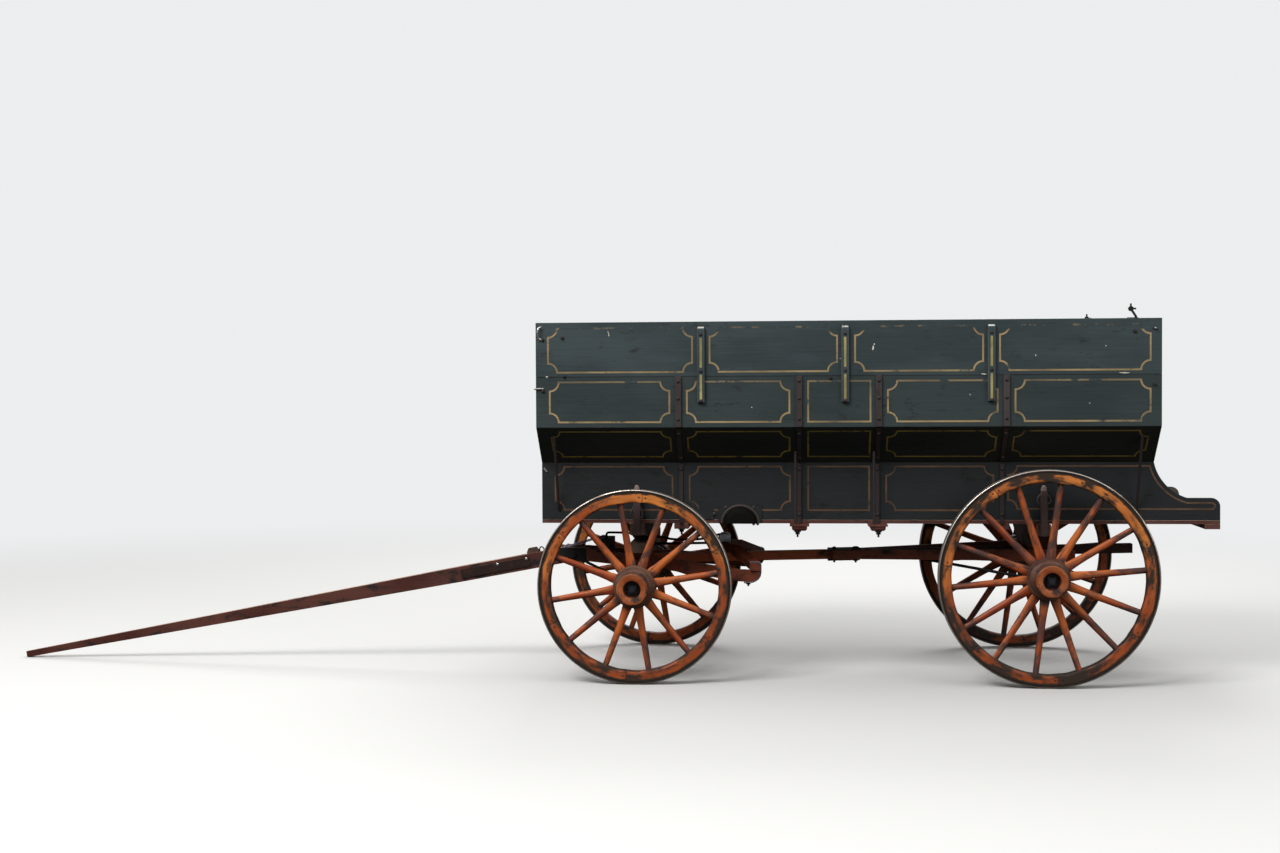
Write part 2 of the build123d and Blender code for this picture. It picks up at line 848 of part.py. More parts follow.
def coupling_plate(side):
    """Iron plate above (side = 1) or under (side = -1) the reach where the rear hounds join it."""
    start = coupling_start
    end = start + coupling_length
    half = reach_height / 2
    near = reach_z(start) + side * half
    far = reach_z(end) + side * half
    step = side * coupling_plate_thickness
    outline = [(start, near), (end, far), (end, far + step), (start, near + step)]
    width = reach_width / 2 + hound_width
    return cut_from_side(outline, (-width, width))


def reach_brace():
    """Left rod from the reach's underside to the rear axle's lower front edge."""
    z = reach_z(brace_rod_start) - reach_height / 2
    end = (wheelbase - axle_width / 2, -brace_rod_spread, rear_axle_top - brace_rod_drop)
    return rod((brace_rod_start, -brace_rod_inset, z), end, brace_rod_radius) - reach() - rear_axle()


def pole_frame(along, across, up):
    """Point on the tongue: distance from its pin towards the tip, place across, height off its middle."""
    c = math.cos(tongue_droop)
    s = math.sin(tongue_droop)
    return (tongue_pin_x - along * c - up * s, across, jaw_centre_z - along * s + up * c)


def tongue_pole():
    """Pole with its heel between the jaws: even as far as the side straps reach, then tapered to the tip."""
    end = [
        (-tongue_heel, tongue_width, tongue_depth),
        (strap_end, tongue_width, tongue_depth),
        (tongue_reach, tongue_tip_width, tongue_tip_depth),
    ]
    sections = []
    for along, width, depth in end:
        w = width / 2
        d = depth / 2
        corners = [(-w, -d), (w, -d), (w, d), (-w, d)]
        sections.append(make_face(Polyline(*[pole_frame(along, *corner) for corner in corners], close=True)))
    pole = loft(sections, ruled=True)
    pole -= cross_pin(
        tongue_pin_x, jaw_centre_z, (-tongue_width, tongue_width), tongue_pin_radius + tongue_pin_clearance
    )
    evener_hole = hammer_strap_place + evener_hole_ahead
    return pole - rod(
        pole_frame(evener_hole, 0, -tongue_depth), pole_frame(evener_hole, 0, tongue_depth), evener_hole_radius
    )


def tongue_strap():
    """Left iron strap on the side of the pole, ahead of the jaws."""
    half = tongue_strap_height / 2
    side = -tongue_width / 2
    corners = [(strap_start, -half), (strap_end, -half), (strap_end, half), (strap_start, half)]
    face = make_face(Polyline(*[pole_frame(a, side, up) for a, up in corners], close=True))
    return extrude(face, tongue_strap_thickness, dir=(0, -1, 0))


def hammer_strap():
    """Iron staple on top of the pole that held the evener's bolt."""
    base = tongue_depth / 2
    half = hammer_strap_length / 2
    crown = half - hammer_strap_slope
    corners = [(-half, 0), (half, 0), (half, hammer_strap_foot), (crown, hammer_strap_height)]
    corners += [(-crown, hammer_strap_height), (-half, hammer_strap_foot)]
    side = -hammer_strap_width / 2
    wire = Polyline(*[pole_frame(hammer_strap_place + a, side, base + up) for a, up in corners], close=True)
    return extrude(make_face(wire), hammer_strap_width, dir=(0, 1, 0))


def lower_side():
    """Left lower side board, which runs on behind the box as a scroll wing."""
    y = -floor_half
    top = flare_bottom
    flat = floor_top + wing_flat_height
    sweep_end = (box_rear + wing_flat_start, flat)
    sweep_middle = (box_rear + wing_flat_start * wing_sweep_share, flat + (top - flat) * wing_sweep_share)
    nose_start = (box_tail - wing_nose_radius, flat)
    nose_end = (box_tail, flat - wing_nose_radius)
    turn = wing_nose_radius * (1 - math.sqrt(0.5))
    nose_middle = (box_tail - turn, flat - turn)

    def at(point):
        return (point[0], y, point[1])

    edges = [
        Line(at((box_front, floor_top)), at((box_front, top))),
        Line(at((box_front, top)), at((box_rear, top))),
        ThreePointArc(at((box_rear, top)), at(sweep_middle), at(sweep_end)),
        Line(at(sweep_end), at(nose_start)),
        ThreePointArc(at(nose_start), at(nose_middle), at(nose_end)),
        Line(at(nose_end), at((box_tail, floor_top))),
        Line(at((box_tail, floor_top)), at((box_front, floor_top))),
    ]
    face = make_face(Wire(edges))
    return extrude(face, board_thickness, dir=(0, 1, 0))


def flare_board():
    """Left flare board: it leans out over the wheels, cut level where it meets the boards below and above."""
    slant = board_thickness * math.hypot(flare_overhang, flare_rise) / flare_rise
    outline = [
        (-floor_half, flare_bottom),
        (-floor_half + slant, flare_bottom),
        (-wide_half + slant, flare_top),
        (-wide_half, flare_top),
    ]
    return cut_from_end(outline, (box_front, box_rear))


def straight_board(bottom, top):
    """Left upright side board above the flare."""
    return block((box_front, box_rear), (-wide_half, -wide_half + board_thickness), (bottom, top))


def end_board(x, bottom, top):
    """Board across the box's end, as wide as the space between two straight sides."""
    half = (wide_half if bottom >= flare_top else floor_half) - board_thickness
    return block((x, x + board_thickness), (-half, half), (bottom, top))


def flared_end_board(x):
    """Board across the box's end between the flare boards and, above them, between the second boards."""
    slant = board_thickness * math.hypot(flare_overhang, flare_rise) / flare_rise
    low = floor_half - slant
    high = wide_half - slant
    wide = wide_half - board_thickness
    outline = [(-low, flare_bottom), (low, flare_bottom), (high, flare_top), (wide, flare_top)]
    outline += [(wide, second_top), (-wide, second_top), (-wide, flare_top), (-high, flare_top)]
    return cut_from_end(outline, (x, x + board_thickness))


def floor_boards():
    """Floor planks with open joints, grooved for the front end board, that run on between the wings."""
    width = box_floor_width / floor_board_count
    gap = floor_board_gap / 2
    front = box_front + end_board_inset
    half = floor_half - board_thickness
    groove = block(
        (front, front + board_thickness), (-half, half), (floor_top - end_board_groove, floor_top + overreach)
    )
    planks = []
    for i in range(floor_board_count):
        low = -floor_half + i * width + (gap if i else 0)
        high = -floor_half + (i + 1) * width - (gap if i < floor_board_count - 1 else 0)
        plank = block((box_front, box_tail), (low, high), (floor_bottom, floor_top))
        planks.append(plank - groove)
    return planks


def moulded_sill(x):
    """Cross sill whose ends stand out past the floor: a flat cap over a narrower, rounded body."""
    cap = floor_bottom - sill_cap_height
    low = floor_bottom - sill_height
    half = sill_width / 2
    body = sill_body_width / 2
    side = [(-half, floor_bottom), (-half, cap), (-body, cap)]
    side += rounded((-body, low + sill_round), (-body, low), (-body + sill_round, low))
    side += [(-px, pz) for px, pz in reversed(side)]
    end = floor_half + sill_overhang
    body_end = end - sill_body_setback
    face = [(-end, floor_bottom), (-end, cap), (-body_end, cap)]
    face += rounded((-body_end, low + sill_round), (-body_end, low), (-body_end + sill_round, low))
    face += [(-py, pz) for py, pz in reversed(face)]
    beam = cut_from_side([(x + px, pz) for px, pz in side], (-end, end))
    return beam & cut_from_end(face, (x - half, x + half))


def plain_sill(x, width, height):
    """Plain cross sill under the floor."""
    return block((x - width / 2, x + width / 2), (-floor_half, floor_half), (floor_bottom - height, floor_bottom))


def ribs():
    """Left upright ribs on the second board."""
    y = -wide_half
    return [
        block(
            (place - rib_width / 2, place + rib_width / 2),
            (y - rib_thickness, y),
            (flare_top, second_top),
        )
        for place, _ in ribs_and_sills
    ]


def flare_strips():
    """Left iron strips down the flare board, under the ribs."""
    slant = strip_thickness * math.hypot(flare_overhang, flare_rise) / flare_rise
    clear = strip_thickness
    slope = flare_overhang / flare_rise
    low = flare_bottom + clear
    high = flare_top - clear
    outline = [
        (-floor_half - slope * clear - slant, low),
        (-floor_half - slope * clear, low),
        (-wide_half + slope * clear, high),
        (-wide_half + slope * clear - slant, high),
    ]
    return [
        cut_from_end(outline, (place - strip_width / 2, place + strip_width / 2))
        for place, _ in ribs_and_sills
    ]


def lower_strips():
    """Left iron strips down the lower board."""
    y = -floor_half
    return [
        block(
            (place - strip_width / 2, place + strip_width / 2),
            (y - strip_thickness, y),
            (floor_bottom, flare_bottom - strip_thickness),
        )
        for place, _ in ribs_and_sills
    ]


def top_cleats():
    """Left cleats that hold the top board on the second one, with their heads cut to a slant."""
    y = -wide_half
    high = box_top - top_cleat_drop
    outline = [
        (y, high),
        (y, high - top_cleat_length),
        (y - top_cleat_thickness, high - top_cleat_length),
        (y - top_cleat_thickness, high - top_cleat_chamfer),
    ]
    half = top_cleat_width / 2
    return [cut_from_end(outline, (place - half, place + half)) for place in top_cleat_places]


def flare_point(y):
    """Height of the flare board's outer face at a distance from the middle."""
    return flare_bottom + (abs(y) - floor_half) * flare_rise / flare_overhang


def flare_rods():
    """Left upright rods from the moulded sills' ends up to the flare board."""
    y = -floor_half - sill_overhang + flare_rod_inset
    high = flare_point(abs(y) - flare_rod_radius)
    rods = []
    for place, moulded in ribs_and_sills:
        if moulded:
            side = strip_width / 2 + flare_rod_radius + flare_rod_gap
            rods.append(upright_pin(place - side, y, (floor_bottom, high), flare_rod_radius))
    return rods


def end_braces():
    """Left slanting rods near both ends, from the lower board's foot to the flare's head."""
    rods = []
    for x in (box_front + end_brace_inset, box_rear - end_brace_inset):
        low = (x, -floor_half - flare_rod_radius - end_brace_foot_gap, floor_top + end_brace_foot)
        y_high = -wide_half + end_brace_head_inset
        high = (x, y_high - end_brace_head_gap, flare_point(y_high) - end_brace_head_drop)
        rods.append(rod(low, high, flare_rod_radius))
    return rods


def rub_iron():
    """Left rub iron, a flange with a half dome, where the front tyre meets the lower board on full lock."""
    y = -floor_half
    flange = block(
        (rub_iron_place - rub_iron_flange / 2, rub_iron_place + rub_iron_flange / 2),
        (y - rub_iron_flange_thickness, y),
        (floor_bottom, floor_bottom + rub_iron_flange_height),
    )
    front = y - rub_iron_flange_thickness
    crown = y - rub_iron_depth
    x = rub_iron_place
    z = floor_bottom
    shoulder = (x + rub_iron_shoulder_radius, y - rub_iron_shoulder_depth, z)
    edges = [
        Line((x, front, z), (x + rub_iron_radius, front, z)),
        ThreePointArc((x + rub_iron_radius, front, z), shoulder, (x + rub_iron_crown_radius, crown, z)),
        Line((x + rub_iron_crown_radius, crown, z), (x, crown, z)),
        Line((x, crown, z), (x, front, z)),
    ]
    dome = revolve(make_face(Wire(edges)), Axis((x, front, z), (0, -1, 0)), 180)
    return flange + dome


def wear_strap():
    """Left flat iron ahead of the rub iron."""
    end = rub_iron_place - rub_iron_flange / 2 - wear_strap_gap
    return block(
        (end - wear_strap_length, end),
        (-floor_half - rub_iron_flange_thickness, -floor_half),
        (floor_top, floor_top + wear_strap_height),
    )


def rim_hook():
    """Left forked iron ahead of the tail: a strap inside the board, a leaning shank with an eye above, two prongs."""
    foot_x = box_rear - rim_hook_inset
    inside = -wide_half + board_thickness
    y = (inside, inside + rim_hook_strap_thickness)
    width = (foot_x - rim_hook_strap_width, foot_x)
    strap = block(width, y, (box_top - rim_hook_strap_length, box_top + rim_hook_strap_rise))
    shank_x = foot_x - rim_hook_shank_radius * 2
    neck_width = (shank_x - rim_hook_shank_radius, shank_x + rim_hook_shank_radius)
    neck_top = box_top + rim_hook_neck_rise
    neck = block(neck_width, y, (box_top, neck_top))
    middle = y[1] - rim_hook_shank_radius
    foot = (shank_x, middle, neck_top - rim_hook_shank_radius / 2)
    eye_x = shank_x - rim_hook_lean
    eye_z = box_top + rim_hook_shank_height
    half = rim_hook_eye_width / 2
    eye = cross_pin(eye_x, eye_z, (middle - half, middle + half), rim_hook_eye_radius)
    shank = rod(foot, (eye_x, middle, eye_z), rim_hook_shank_radius)
    upper = rod((eye_x, middle, eye_z), (eye_x, middle, eye_z + rim_hook_prong), rim_hook_prong_radius)
    rear = rod((eye_x, middle, eye_z), (eye_x + rim_hook_prong, middle, eye_z), rim_hook_prong_radius)
    return strap + neck + shank + eye + upper + rear


def gate_board():
    """Tail gate between the lower sides."""
    half = floor_half - board_thickness - gate_side_gap
    low = floor_top + gate_floor_gap
    return block((gate_front, box_rear), (-half, half), (low, flare_bottom - gate_top_gap))


def gate_straps():
    """Iron strap hinges on the gate's rear face: each strap ends in an eye round its pin."""
    straps = []
    top = flare_bottom - gate_strap_drop
    for place in (-gate_strap_place, gate_strap_place):
        y = (place - gate_strap_width / 2, place + gate_strap_width / 2)
        leaf = block((box_rear, box_rear + gate_strap_thickness), y, (gate_hinge_z, top))
        eye = cross_pin(gate_hinge_x, gate_hinge_z, y, gate_hinge_radius)
        through = (y[0] - overreach, y[1] + overreach)
        bore = cross_pin(gate_hinge_x, gate_hinge_z, through, gate_pin_radius + gate_lug_play)
        straps.append(leaf + eye - bore - block((gate_front, box_rear), y, (floor_bottom, top)))
    return straps


def gate_pins():
    """Hinge pins held in two lugs on the floor, one pair beside each strap."""
    pins = []
    lug = gate_lug_width
    radius = gate_hinge_radius - gate_lug_play
    for place in (-gate_strap_place, gate_strap_place):
        low = place - gate_strap_width / 2 - gate_lug_gap
        high = place + gate_strap_width / 2 + gate_lug_gap
        pin = cross_pin(gate_hinge_x, gate_hinge_z, (low - lug, high + lug), gate_pin_radius)
        for y in ((low - lug, low), (high, high + lug)):
            pin += block((gate_hinge_x - radius, gate_hinge_x + gate_lug_foot), y, (floor_top, gate_hinge_z))
            pin += cross_pin(gate_hinge_x, gate_hinge_z, y, radius)
        pins.append(pin)
    return pins


def build():
    """Make every node and write its file."""
    os.makedirs("parts", exist_ok=True)

    wheels = [
        ("front", front_wheel_radius, front_spoke_count, front_spoke_turn, 0.0),
        ("rear", rear_wheel_radius, rear_spoke_count, rear_spoke_turn, wheelbase),
    ]
    for axle, radius, count, first_turn, x in wheels:
        left = {
            "hub": [hub(x, radius)],
            "rim": [rim(radius, count, first_turn, x, radius)],
            "tyre": [tyre(radius, x, radius)],
        }
        for name, pieces in left.items():
            write(f"{axle}_left_{name}", pieces)
            write(f"{axle}_right_{name}", [mirror(piece, about=Plane.XZ) for piece in pieces])

    write("front_axle", front_axle())
    write("front_skeins", both_sides(skein(0, front_axle_z)))
    write("sand_board", sand_board())
    write("lower_wear_plate", wear_plate(sand_board_top, king_pin_radius + king_pin_clearance))
    write("front_hounds", both_sides(front_hound()))
    write("hound_tie", hound_tie())
    write("jaw_irons", both_sides(jaw_iron()))
    write("tongue_bolt", tongue_bolt())
    write("sway_bar", sway_bar())
    write("sway_bar_caps", both_sides(sway_cap()) + [sway_crown_iron()])
    write("hound_braces", both_sides(hound_brace()))

    write("tongue_pole", tongue_pole())
    write("tongue_irons", both_sides(tongue_strap()) + [hammer_strap()])

    write("upper_wear_plate", wear_plate(upper_plate_bottom, king_pin_radius + fit_gap))
    write("front_bolster", front_bolster())
    write("king_pin", king_pin())
    write("rear_bolster", bolster(wheelbase, rear_bolster_bottom))
    write("bolster_stakes", both_sides(stake(0)) + both_sides(stake(wheelbase)))
    write("rear_axle", rear_axle())
    write("rear_skeins", both_sides(skein(wheelbase, rear_axle_z)))
    write("reach", reach())
    write("rear_hounds", both_sides(rear_hound()))
    write("reach_coupling", [coupling_plate(1), coupling_plate(-1)])
    write("reach_braces", both_sides(reach_brace()))

    for side, flip in (("left", False), ("right", True)):
        sides = {
            "lower_side": lower_side(),
            "flare_board": flare_board(),
            "second_board": straight_board(flare_top, second_top),
            "top_board": straight_board(second_top, box_top),
        }
        for name, board in sides.items():
            write(f"{name}_{side}", mirror(board, about=Plane.XZ) if flip else board)

    front_x = box_front + end_board_inset
    rear_x = box_rear - board_thickness
    write("floor_boards", floor_boards())
    write("front_end_lower", end_board(front_x, floor_top - end_board_groove, flare_bottom))
    write("front_end_flared", flared_end_board(front_x))
    write("front_end_top", end_board(front_x, second_top, box_top))
    write("rear_end_flared", flared_end_board(rear_x))
    write("rear_end_top", end_board(rear_x, second_top, box_top))

    sills = [
        moulded_sill(place) if moulded else plain_sill(place, plain_sill_width, plain_sill_height)
        for place, moulded in ribs_and_sills
    ]
    sills.append(plain_sill(box_tail - tail_cleat_width / 2, tail_cleat_width, tail_cleat_height))
    write("cross_sills", sills)
    write("ribs", [piece for rib in ribs() for piece in both_sides(rib)])
    write("side_strips", [piece for strip in flare_strips() + lower_strips() for piece in both_sides(strip)])
    write("top_cleats", [piece for cleat in top_cleats() for piece in both_sides(cleat)])
    write("flare_rods", [piece for bar in flare_rods() + end_braces() for piece in both_sides(bar)])
    write("rub_irons", both_sides(rub_iron()) + both_sides(wear_strap()))

    write("rim_hooks", both_sides(rim_hook()))

    write("tail_gate", gate_board())
    write("gate_straps", gate_straps())
    write("gate_pins", gate_pins())


build()
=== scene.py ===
"""Looks of a horse-drawn farm wagon: painted boards with pinstripes, dished wheels, blackened irons.

Lengths are in metres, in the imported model's own frame: the tongue points to -X, the wagon's left side is -Y and
+Z is up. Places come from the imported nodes' boxes wherever a node carries the piece.
"""
import json
import math

import bmesh
import bpy
import numpy as np
from mathutils import Matrix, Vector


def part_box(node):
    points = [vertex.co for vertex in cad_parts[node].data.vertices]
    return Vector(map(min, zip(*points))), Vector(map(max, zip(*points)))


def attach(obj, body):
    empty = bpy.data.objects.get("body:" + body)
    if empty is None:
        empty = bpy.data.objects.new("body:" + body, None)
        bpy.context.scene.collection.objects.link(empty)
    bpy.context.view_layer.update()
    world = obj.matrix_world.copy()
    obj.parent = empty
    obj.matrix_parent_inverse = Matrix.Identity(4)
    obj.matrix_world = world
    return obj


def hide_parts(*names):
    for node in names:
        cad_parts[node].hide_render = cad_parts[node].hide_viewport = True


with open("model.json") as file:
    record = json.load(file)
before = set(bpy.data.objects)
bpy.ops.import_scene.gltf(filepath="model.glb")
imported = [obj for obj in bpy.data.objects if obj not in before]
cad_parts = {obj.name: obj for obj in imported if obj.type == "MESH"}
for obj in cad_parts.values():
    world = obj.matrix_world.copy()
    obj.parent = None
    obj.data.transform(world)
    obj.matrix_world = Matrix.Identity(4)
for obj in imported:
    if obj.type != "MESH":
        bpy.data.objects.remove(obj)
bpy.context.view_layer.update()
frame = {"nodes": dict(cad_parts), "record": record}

nodes = frame["nodes"]
record = frame["record"]
slot_of = {part["node"]: part["material_slot"] for part in record["subparts"]}
body_of = {node: body for body, members in record["behaviour"]["bodies"].items() for node in members}

# Materials


def srgb(code):
    """A colour written as sRGB hex, as the linear red, green, blue and alpha that a shader takes."""
    channels = [int(code[i:i + 2], 16) / 255 for i in (1, 3, 5)]
    return (*[c / 12.92 if c <= 0.04045 else ((c + 0.055) / 1.055) ** 2.4 for c in channels], 1.0)


def add(tree, kind, inputs=None, **settings):
    """One shader node: settings are its own properties, inputs fill its sockets with values or other sockets."""
    node = tree.nodes.new("ShaderNode" + kind)
    for name, value in settings.items():
        setattr(node, name, value)
    for socket, value in (inputs or {}).items():
        if isinstance(value, bpy.types.NodeSocket):
            tree.links.new(value, node.inputs[socket])
        else:
            node.inputs[socket].default_value = value
    return node


class Look:
    """A material being built: each method adds to its node tree and gives the output."""

    def __init__(self, name):
        self.material = bpy.data.materials.new(name)
        self.material.use_nodes = True
        self.tree = self.material.node_tree
        self.tree.nodes.clear()
        self.shader = add(self.tree, "BsdfPrincipled")
        add(self.tree, "OutputMaterial", {"Surface": self.shader.outputs[0]})

    def where(self):
        """A point's place in its piece's own frame."""
        return add(self.tree, "TexCoord").outputs["Object"]

    def carried(self, label, output="Fac"):
        """What the piece's points carry under a label: "grain", "soil" or "sun"."""
        return add(self.tree, "Attribute", attribute_name=label).outputs[output]

    def patches(self, where, length, width, detail=3.0, rough=0.5):
        """Random patches of a real length and width, longest along the first coordinate: noise on where / size."""
        sized = add(self.tree, "Mapping", {"Vector": where, "Scale": (1 / length, 1 / width, 1 / width)})
        return add(self.tree, "TexNoise", {"Vector": sized.outputs[0], "Scale": 1.0, "Detail": detail,
                                           "Roughness": rough}).outputs[0]

    def ramp(self, value, low, high, to_low=0.0, to_high=1.0):
        """Runs evenly from to_low, where the value is low or less, to to_high, where it is high or more."""
        return add(self.tree, "MapRange", {"Value": value, "From Min": low, "From Max": high, "To Min": to_low,
                                           "To Max": to_high}).outputs[0]

    def mix(self, share, first, second, mode="MIX"):
        """From the first colour to the second one as share goes from 0 to 1, or with MULTIPLY to their product."""
        return add(self.tree, "Mix", {0: share, 6: first, 7: second}, data_type="RGBA", blend_type=mode).outputs[2]

    def total(self, first, second, clamp=False):
        """first + second."""
        return add(self.tree, "Math", {0: first, 1: second}, use_clamp=clamp).outputs[0]

    def scaled(self, value, factor, plus, clamp=False):
        """value * factor + plus."""
        return add(self.tree, "Math", {0: value, 1: factor, 2: plus}, operation="MULTIPLY_ADD",
                   use_clamp=clamp).outputs[0]

    def finish(self, colour, roughness, height, depth):
        """Link colour, roughness and relief: the relief's height runs from 0 to 1 over a real depth."""
        relief = add(self.tree, "Bump", {"Height": height, "Distance": depth, "Strength": 1.0}).outputs[0]
        for socket, value in (("Base Color", colour), ("Roughness", roughness), ("Normal", relief)):
            self.tree.links.new(value, self.shader.inputs[socket])
        return self.material


def painted_wood(name, colours, grime_from=0.58, chips_from=0.66, chip_size=0.03, gloss=0.42, brush_depth=0.1,
                 grime_blend=0.12):
    """Oil paint brushed on planed hardwood or pine, decades outdoors.

    The eye sees a satin coat that has chalked in broad patches, darkened where dirt has settled along the grain,
    and flaked off in small islands that show the grey wood. colours are those of the paint, the faded paint, the
    dirt and the bare wood. grime_from and chips_from are the noise levels from which dirt and bare wood show: the
    lower, the more of it. grime_blend is the span over which the dirt grows dense. A piece's own attributes "soil"
    and "sun" add to the levels of dirt and of fading; on the wheels "sun" also lightens the paint as painted
    sunlight.
    """
    look = Look(name)
    paint, faded, grime, bare = map(srgb, colours.split())
    grain = look.carried("grain", "Vector")
    # Chalking lies in patches as long as a forearm, dirt in patches as long as a hand. Brush marks are drawn 12 mm
    # wide, coarser than the real 2 mm, and year rings 6 mm apart.
    chalk = look.ramp(look.total(look.patches(grain, 0.42, 0.16, 4.0), look.carried("sun")), 0.4, 0.62)
    brush = look.patches(grain, 0.3, 0.012, 4.0)
    settled = look.total(look.patches(grain, 0.11, 0.045, 6.0, 0.62), look.carried("soil"))
    dirt = look.ramp(settled, grime_from, grime_from + grime_blend)
    flake = look.ramp(look.patches(grain, chip_size * 1.6, chip_size, 8.0, 0.72), chips_from, chips_from + 0.03)
    year_rings = look.patches(grain, 0.35, 0.006, 3.0)
    brush_shade = look.ramp(brush, 0.3, 0.7, 1 - brush_depth, 1 + brush_depth)
    brushed = look.mix(1.0, look.mix(chalk, paint, faded), brush_shade, "MULTIPLY")
    wood = look.mix(1.0, bare, look.ramp(year_rings, 0.3, 0.7, 0.6, 1.15), "MULTIPLY")
    colour = look.mix(flake, look.mix(dirt, brushed, grime), wood)
    dull = look.scaled(dirt, 0.15, look.scaled(chalk, 0.18, gloss))
    roughness = look.scaled(flake, 0.25, dull, clamp=True)
    height = look.scaled(year_rings, 0.5, look.scaled(flake, -0.6, brush))
    return look.finish(colour, roughness, height, 0.0006)


def bare_wood(name, colours, roughness=0.72):
    """Planed planks with no paint left, greyed by sun and rain.

    The eye sees long silvery streaks, darker softened year rings between them, stains and a dry surface. colours
    are the light and the dark of the wood and the stains.
    """
    look = Look(name)
    light, dark, stain = map(srgb, colours.split())
    grain = look.carried("grain", "Vector")
    # Year rings are drawn 7 mm apart, coarser than the real 3 mm, so that they show.
    rings = look.patches(grain, 0.5, 0.007, 4.0, 0.6)
    blots = look.ramp(look.patches(grain, 0.2, 0.09, 5.0, 0.6), 0.55, 0.72)
    wood = look.mix(look.ramp(rings, 0.32, 0.66), dark, light)
    tone = look.ramp(look.patches(grain, 1.4, 0.09, 1.0), 0.3, 0.7, 0.75, 1.2)
    colour = look.mix(blots, look.mix(1.0, wood, tone, "MULTIPLY"), stain)
    return look.finish(colour, look.scaled(rings, 0.2, roughness - 0.1), rings, 0.0012)


def forged_iron(name, colours, rust_from=0.56, roughness=0.55, metallic=0.35):
    """Wrought iron blackened by the forge and by old paint, with rust coming through.

    The eye sees a dull dark skin, a little sheen on its high spots and brown bloom in patches. The oxide skin
    covers most of the metal, so it is only partly metallic. colours are those of the skin and of the rust.
    """
    look = Look(name)
    look.shader.inputs["Metallic"].default_value = metallic
    skin_black, rust = map(srgb, colours.split())
    where = look.where()
    bloom = look.ramp(look.patches(where, 0.05, 0.05, 7.0, 0.65), rust_from, rust_from + 0.12)
    pits = look.patches(where, 0.006, 0.006, 4.0, 0.6)
    rough = look.scaled(pits, 0.15, look.scaled(bloom, 0.2, roughness), clamp=True)
    return look.finish(look.mix(bloom, skin_black, rust), rough, pits, 0.0006)


def worn_steel(name, colours, brown_from=0.5, roughness=0.38, speck=0.022):
    """Steel rubbed bright by the road or by hands, with brown rust left in its hollows.

    The eye sees a warm grey gleam broken by brown specks of the size speck. colours are those of the two.
    """
    look = Look(name)
    bright, brown = map(srgb, colours.split())
    specks = look.ramp(look.patches(look.where(), speck, speck, 6.0, 0.6), brown_from, brown_from + 0.14)
    look.tree.links.new(look.scaled(specks, -0.7, 0.9), look.shader.inputs["Metallic"])
    return look.finish(look.mix(specks, bright, brown), look.scaled(specks, 0.3, roughness), specks, 0.0003)


def line_paint(name, colours, gone_from=0.6):
    """Ochre oil paint drawn with a striping brush.

    The eye sees a thin line that varies along its length, rubbed through to the board's paint in places. colours
    are those of the line and of the paint under it. A piece's own attributes "soil" and "sun" say where it is
    rubbed more and by how much it has faded.
    """
    look = Look(name)
    line, under = map(srgb, colours.split())
    where = look.where()
    load = look.ramp(look.patches(where, 0.16, 0.16, 3.0), 0.35, 0.65, 0.6, 1.1)
    level = look.total(look.patches(where, 0.07, 0.05, 6.0, 0.68), look.carried("soil"))
    rubbed = look.ramp(level, gone_from, gone_from + 0.12)
    thin = look.total(look.carried("sun"), rubbed, clamp=True)
    colour = look.mix(thin, look.mix(1.0, line, load, "MULTIPLY"), under)
    return look.finish(colour, look.scaled(rubbed, 0.15, 0.5), rubbed, 0.0001)


# Painted woods: paint, faded paint, dirt and bare wood, then grime_from and chips_from
board_green = painted_wood(
    "aged_blue_green_paint_on_pine", "#303d40 #3a474a #272b2b #776f62", 0.6, 0.77, gloss=0.5, brush_depth=0.07)
# Painted shade: a slightly darker copy of the top boards' green for the second board.
second_board_green_with_painted_shade = painted_wood(
    "blue_green_paint_on_second_board_with_painted_shade", "#2a3637 #323d3e #222626 #6f675b", 0.6, 0.78, gloss=0.52, brush_depth=0.07)
# Painted shade: much darker copies of the green for the lower board, the flare and their rubbed edges.
shaded_lower_green = painted_wood(
    "blue_green_paint_darkened_as_painted_shade_under_the_flare", "#12171a #181c1e #151514 #4d443a", 0.57, 0.8, gloss=0.6, brush_depth=0.08)
shaded_flare_green = painted_wood(
    "green_paint_darkened_as_painted_shade_on_the_flare", "#10130f #171a14 #0b0c09 #3a342a", 0.58, 0.81, gloss=0.66, brush_depth=0.08)
# The lighter green of rubbed edges is wear and also a painted highlight on the boards' arrises.
green_edge_wear_and_highlight = painted_wood("green_paint_rubbed_and_highlit_at_edges", "#3a4446 #4a5354 #292e2e #857c6d", 0.64, 0.64)
shaded_lower_edge = painted_wood("paint_rubbed_at_edges_darkened_as_painted_shade", "#222526 #2c2f30 #191b1b #5d554a", 0.62, 0.68)
# Painted shade: a black line for the shadow in the upper seam.
seam_shade_black = painted_wood("painted_shade_in_the_seams", "#151716 #1b1e1e #0e0e0d #2b2822")
rib_maroon = painted_wood("faded_maroon_paint_on_oak", "#3e3534 #4b403e #282221 #756658", 0.56, 0.72)
sill_red = painted_wood("dark_red_paint_on_sills", "#552720 #654139 #2a1714 #7a6656", 0.53, 0.72, gloss=0.5)
gear_red = painted_wood(
    "dark_red_paint_on_running_gear", "#6b2b13 #7a3a20 #24120b #6f5a48", 0.5, 0.73, gloss=0.5, grime_blend=0.16)
gear_edge = painted_wood("red_paint_rubbed_at_edges", "#7a3820 #8c5034 #331c13 #947c66", 0.54, 0.66)
bolster_red = painted_wood(
    "greyed_red_paint_on_bolsters", "#5a281a #565043 #241812 #6a5f50", 0.5, 0.7, gloss=0.55, grime_blend=0.18)
# Painted light: a brighter, sunlit copy of the gear's red for the reach.
sunlit_reach_red = painted_wood(
    "sunlit_red_paint_on_the_reach", "#a8471c #b0582c #3a1a0e #6f5a48", 0.5, 0.73, gloss=0.5, grime_blend=0.16)
